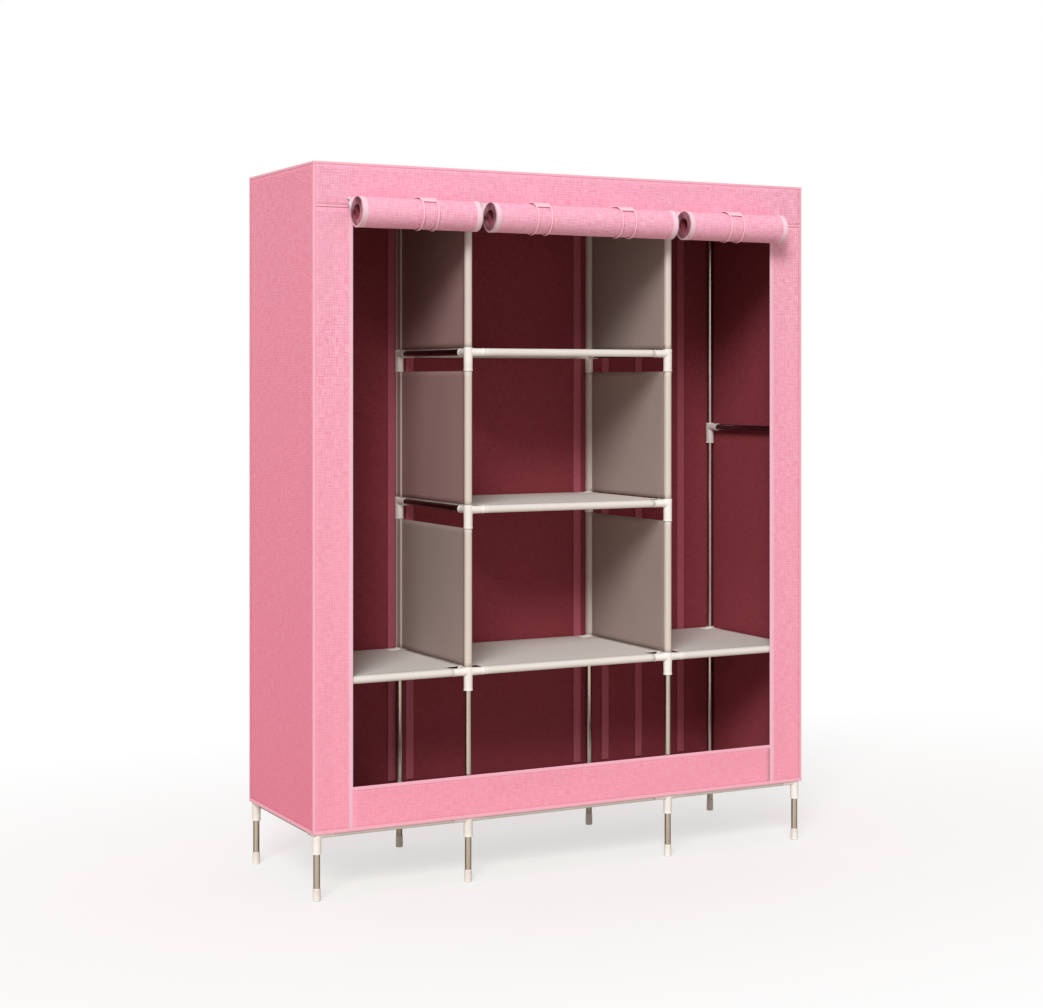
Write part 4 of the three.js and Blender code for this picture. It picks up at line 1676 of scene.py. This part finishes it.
# %% Tees and hanging rods
tee_half = 18 * mm
tee_outline = [
    (hair, -tee_half), (arm_radius - bevel_size, -tee_half), (arm_radius, -tee_half + 0.7 * mm),
    (arm_radius, -tee_half + lip), (arm_radius - waist, -tee_half + lip + mm),
    (arm_radius - waist, tee_half - lip - mm), (arm_radius, tee_half - lip),
    (arm_radius, tee_half - 0.7 * mm), (arm_radius - bevel_size, tee_half), (hair, tee_half),
]


def tee(way):
    """A sleeve round the depth rail with one arm, as a shape."""
    base = solid_object(tee_outline, aim(Y))
    combine(base, solid_object(arm_outline, aim(way)), "UNION")
    bore = bore_outline(-tee_half - mm, tee_half + mm)
    combine(base, solid_object(bore, aim(Y)), "DIFFERENCE")
    return taken_as_shape(base)


tees = Shape()
for side, (a, b) in (("left", all_x[:2]), ("right", all_x[2:])):
    for x, way in ((a, X), (b, -X)):
        tees.add_placed(tee(way), Matrix.Translation((x, middle_y, level["top"])))
    rod = Shape()
    add_tube(rod, (a + rail_end, middle_y, level["top"]), (b - rail_end, middle_y, level["top"]))
    piece(f"{side}_rod", rod, [tube_steel], [f"hanging_rod_{side}"])
piece("rod_tees", tees, [plastic], crease=28.0)
print("4 tees and 2 rods")

# %% Posts and feet
foot_floor = 4 * mm  # what is left under a post


def foot_outline(radius, tall):
    """A cap with a broad base, a groove above it and a collar at its mouth."""
    groove, rim = radius - 0.8 * mm, radius - 0.6 * mm
    return [
        (hair, 0), (radius - 1.2 * mm, 0), (radius, 1.0 * mm), (radius, 3.6 * mm),
        (groove, 4.4 * mm), (groove, 5.2 * mm), (radius - 0.1 * mm, 6.2 * mm),
        (rim, tall - 3.6 * mm), (rim + 0.3 * mm, tall - 2.8 * mm),
        (rim + 0.3 * mm, tall - 0.6 * mm), (rim - 0.2 * mm, tall),
        (bore_radius, tall), (bore_radius, foot_floor), (hair, foot_floor),
    ]


for row, y in row_y.items():
    for place, x in post_x.items():
        low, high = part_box(f"post_{row}_{place}")
        post = Shape()
        add_tube(post, (x, y, low.z), (x, y, high.z))
        piece(f"{row}_{place}_post", post, [tube_steel], [f"post_{row}_{place}"])
        foot_low, foot_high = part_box(f"foot_{row}_{place}")
        outline = foot_outline((foot_high.x - foot_low.x) / 2, foot_high.z)
        form = Shape().add(*turned(outline, fine, closed=False))
        foot = Shape().add_placed(form, Matrix.Translation((x, y, 0)))
        piece(f"{row}_{place}_foot", foot, [plastic], [f"foot_{row}_{place}"],
              crease=28.0)
print("8 posts and 8 feet")

# %% [markdown]
# ## Shelves
#
# A shelf is one cloth. It is wrapped round the front rail, sewn down behind it, runs back over
# the depth rails, and is wrapped round the back rail. In the middle it sags a few millimetres.
# The corners are cut away for the connectors, which a mask on the grid's faces does.

# %% The line of a wrapped cloth
sleeve_play = 0.3 * mm
sleeve_radius = tube_radius + sleeve_play + cloth / 2
span_step = 12 * mm
span_start = 0.6  # in radii from the axis, as are the next two
lead_in = ((1.25, 0.45), (0.95, 0.1), (0.72, -0.72))  # from the seam down under the tube
wrap_steps = 20
wrap_start, wrap_end = -0.62 * math.pi, -1.5 * math.pi
layer_gap = cloth + 0.2 * mm  # from the cloth's line to that of the end sewn under it
sleeve_hem = 17 * mm  # from the rail's axis to the line that closes the sleeve


def wrapped_line(hem_reach, drop):
    """A line of along and up, wrapped round a front and a back axis on its way.

    It comes with the numbers of the first and the last point between the two sleeves."""
    turn = np.linspace(wrap_start, wrap_end, wrap_steps)
    wrap = np.column_stack([np.cos(turn), np.sin(turn)]) * sleeve_radius
    lead = np.array([(hem_reach, sleeve_radius - drop), *(np.array(lead_in) * sleeve_radius)])
    head = np.concatenate([lead, wrap]) + (row_y["front"], 0)
    tail = np.column_stack([2 * middle_y - head[::-1, 0], head[::-1, 1]])
    reach = sleeve_radius * span_start
    span = straight((row_y["front"] + reach, sleeve_radius), (row_y["back"] - reach, sleeve_radius),
                    span_step)
    return np.concatenate([head, span, tail]), len(head), len(head) + len(span) - 1


print(f"sleeves of {2 * sleeve_radius / mm:.1f} mm round tubes of {2 * tube_radius / mm:.0f} mm")

# %% Shelf cloths
shelf_sag = 4.5 * mm
crease_share = 0.25
crease_finer = 2  # how much shorter its waves are than a panel's
seam_inset = 2 * mm
wing_columns, sleeve_columns = 5, 40


def kept_cells(points, faces, flat, keep):
    """A sheet's wanted cells only, with the points that they use."""
    used = np.unique(faces[keep])
    order = np.full(flat[..., 0].size, -1)
    order[used] = np.arange(len(used))
    return points.reshape(-1, 3)[used], order[faces[keep]], flat.reshape(-1, 2)[used]


def shelf_stitches(name, sleeve_low, sleeve_high, height):
    lines = Shape()
    z = height + sleeve_radius + cloth / 2
    reach = sleeve_hem - seam_inset
    for y in (row_y["front"] + reach, row_y["back"] - reach):
        stitch_row(lines, (sleeve_low, y, z), (sleeve_high, y, z), Z)
    # The thread takes the walls' deeper finish: painted shade.
    piece(f"{name}_shelf_stitches", lines, [wall_felt_shaded], crease=80.0)


def make_shelf(name, node_name, xs, height):
    low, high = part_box(node_name)
    line, first, last = wrapped_line(sleeve_hem, layer_gap)
    length = lengths_along(line)
    clear = arm_length + sleeve_play
    sleeve_low, sleeve_high = xs[0] + clear, xs[1] - clear
    u = np.concatenate([
        np.linspace(low.x, sleeve_low, wing_columns),
        np.linspace(sleeve_low, sleeve_high, sleeve_columns)[1:],
        np.linspace(sleeve_high, high.x, wing_columns)[1:],
    ])
    middle_x, half_x = (low.x + high.x) / 2, (high.x - low.x) / 2
    half_y = row_y["back"] - middle_y
    clear_y = half_y - clear

    def place(x, run):
        y = np.interp(run, length, line[:, 0])
        z = np.interp(run, length, line[:, 1])
        inside = (run > length[first]) & (run < length[last])
        across, along = (x - middle_x) / half_x, (y - middle_y) / half_y
        bowl = np.clip(1 - across**2, 0, 1) * np.clip(1 - along**2, 0, 1)
        crease = crease_share * soft_waves(x * crease_finer, y * crease_finer)
        return x, y, height + z - inside * shelf_sag * bowl * (1 + crease)

    # The wings' edges need rows of their own, at the cut beside each connector.
    span = slice(first, last + 1)
    cuts = np.interp([middle_y - clear_y, middle_y + clear_y], line[span, 0], length[span])
    points, faces, flat = grid(u, np.unique(np.concatenate([length, cuts])), place)
    middles_x, runs = [(flat[:-1, :-1, i] + flat[1:, 1:, i]).ravel() / 2 for i in (0, 1)]
    middles_y = np.interp(runs, length, line[:, 0])
    on_top = (runs > length[first - 1]) & (runs < length[last + 1])
    sleeve = (middles_x > sleeve_low) & (middles_x < sleeve_high)
    wing = on_top & (abs(middles_y - middle_y) < clear_y)
    shape = Shape().add(*kept_cells(points, faces, flat, sleeve | wing))
    made = piece(f"{name}_shelf", shape, [shelf_cloth], [node_name], sheet=True,
                 crease=60.0)
    thicken(made, cloth, 0)
    shelf_stitches(name, sleeve_low, sleeve_high, height)


spans = {"left": all_x[:2], "middle": inner_x, "right": all_x[2:]}
for side, xs in spans.items():
    for name in ("bottom", "low"):
        make_shelf(f"{name}_{side}", f"shelf_{name}_{side}", xs, level[name])
for name in ("mid", "high"):
    make_shelf(name, f"shelf_{name}", inner_x, level[name])
print("8 shelves")

# %% [markdown]
# ## The walls between the columns
#
# These are made like the shelves, but stand upright: one cloth, wrapped round the front post
# and round the back post, in each of the three upper bays. Its sleeve hides the post, which is
# why the inner posts look white and broad there and bare below. The flat of each wall has a
# deeper finish than its sleeve, which is painted shade. The left walls of the two higher bays
# have the pinkish finish: painted pink light, from the panel beside them.

# %% Cloth walls
wall_hem = 20 * mm  # from a post's axis to the line that closes the sleeve
wall_rows = 28
wall_bow = 1.4 * mm
bow_finer = 1.5  # how much shorter its waves are than a panel's
wall_settle = 2.6  # radii of the sleeve over which the cloth comes to the post's axis


def make_wall(side, bay, x):
    low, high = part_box(f"divider_{side}_{bay}")
    line, first, last = wrapped_line(wall_hem, sleeve_radius - layer_gap)
    # The sheet leaves the sleeve on the post's axis, not on its side as a shelf does.
    half_y = row_y["back"] - middle_y
    out = np.clip((half_y - abs(line[:, 0] - middle_y)) / (sleeve_radius * wall_settle), 0, 1)
    span = slice(first, last + 1)
    line[span, 1] *= 1 - eased(out[span])
    length = lengths_along(line)
    hand = 1 if side == "left" else -1

    def place(z, run):
        y = np.interp(run, length, line[:, 0])
        offset = np.interp(run, length, line[:, 1])
        along = np.clip(1 - ((y - middle_y) / half_y) ** 2, 0, 1)
        bow = wall_bow * along * soft_waves(z * bow_finer, y * bow_finer)
        inner = (run > length[first + 2]) & (run < length[last - 2])
        return x - hand * (offset - bow * inner), y, z

    points, faces, flat = grid(np.linspace(low.z, high.z, wall_rows), length, place)
    runs = flat[:-1, :-1, 1].ravel()
    round_post = (runs < length[first]) | (runs > length[last - 1])
    shape = Shape().add(points, faces, flat, round_post.astype(int).tolist())
    # The flat of a wall takes the deeper finish, painted shade, or the pinkish one, painted pink light.
    wall_painted_light = wall_felt_painted_pink_light if side == "left" and bay != "low" else wall_felt_shaded
    made = piece(f"{side}_{bay}_wall", shape, [wall_painted_light, sleeve_cloth],
                 [f"divider_{side}_{bay}"], sheet=True, crease=60.0)
    thicken(made, cloth, 0)


for side, x in (("left", inner_x[0]), ("right", inner_x[1])):
    for bay in ("low", "mid", "high"):
        make_wall(side, bay, x)
print("6 cloth walls")
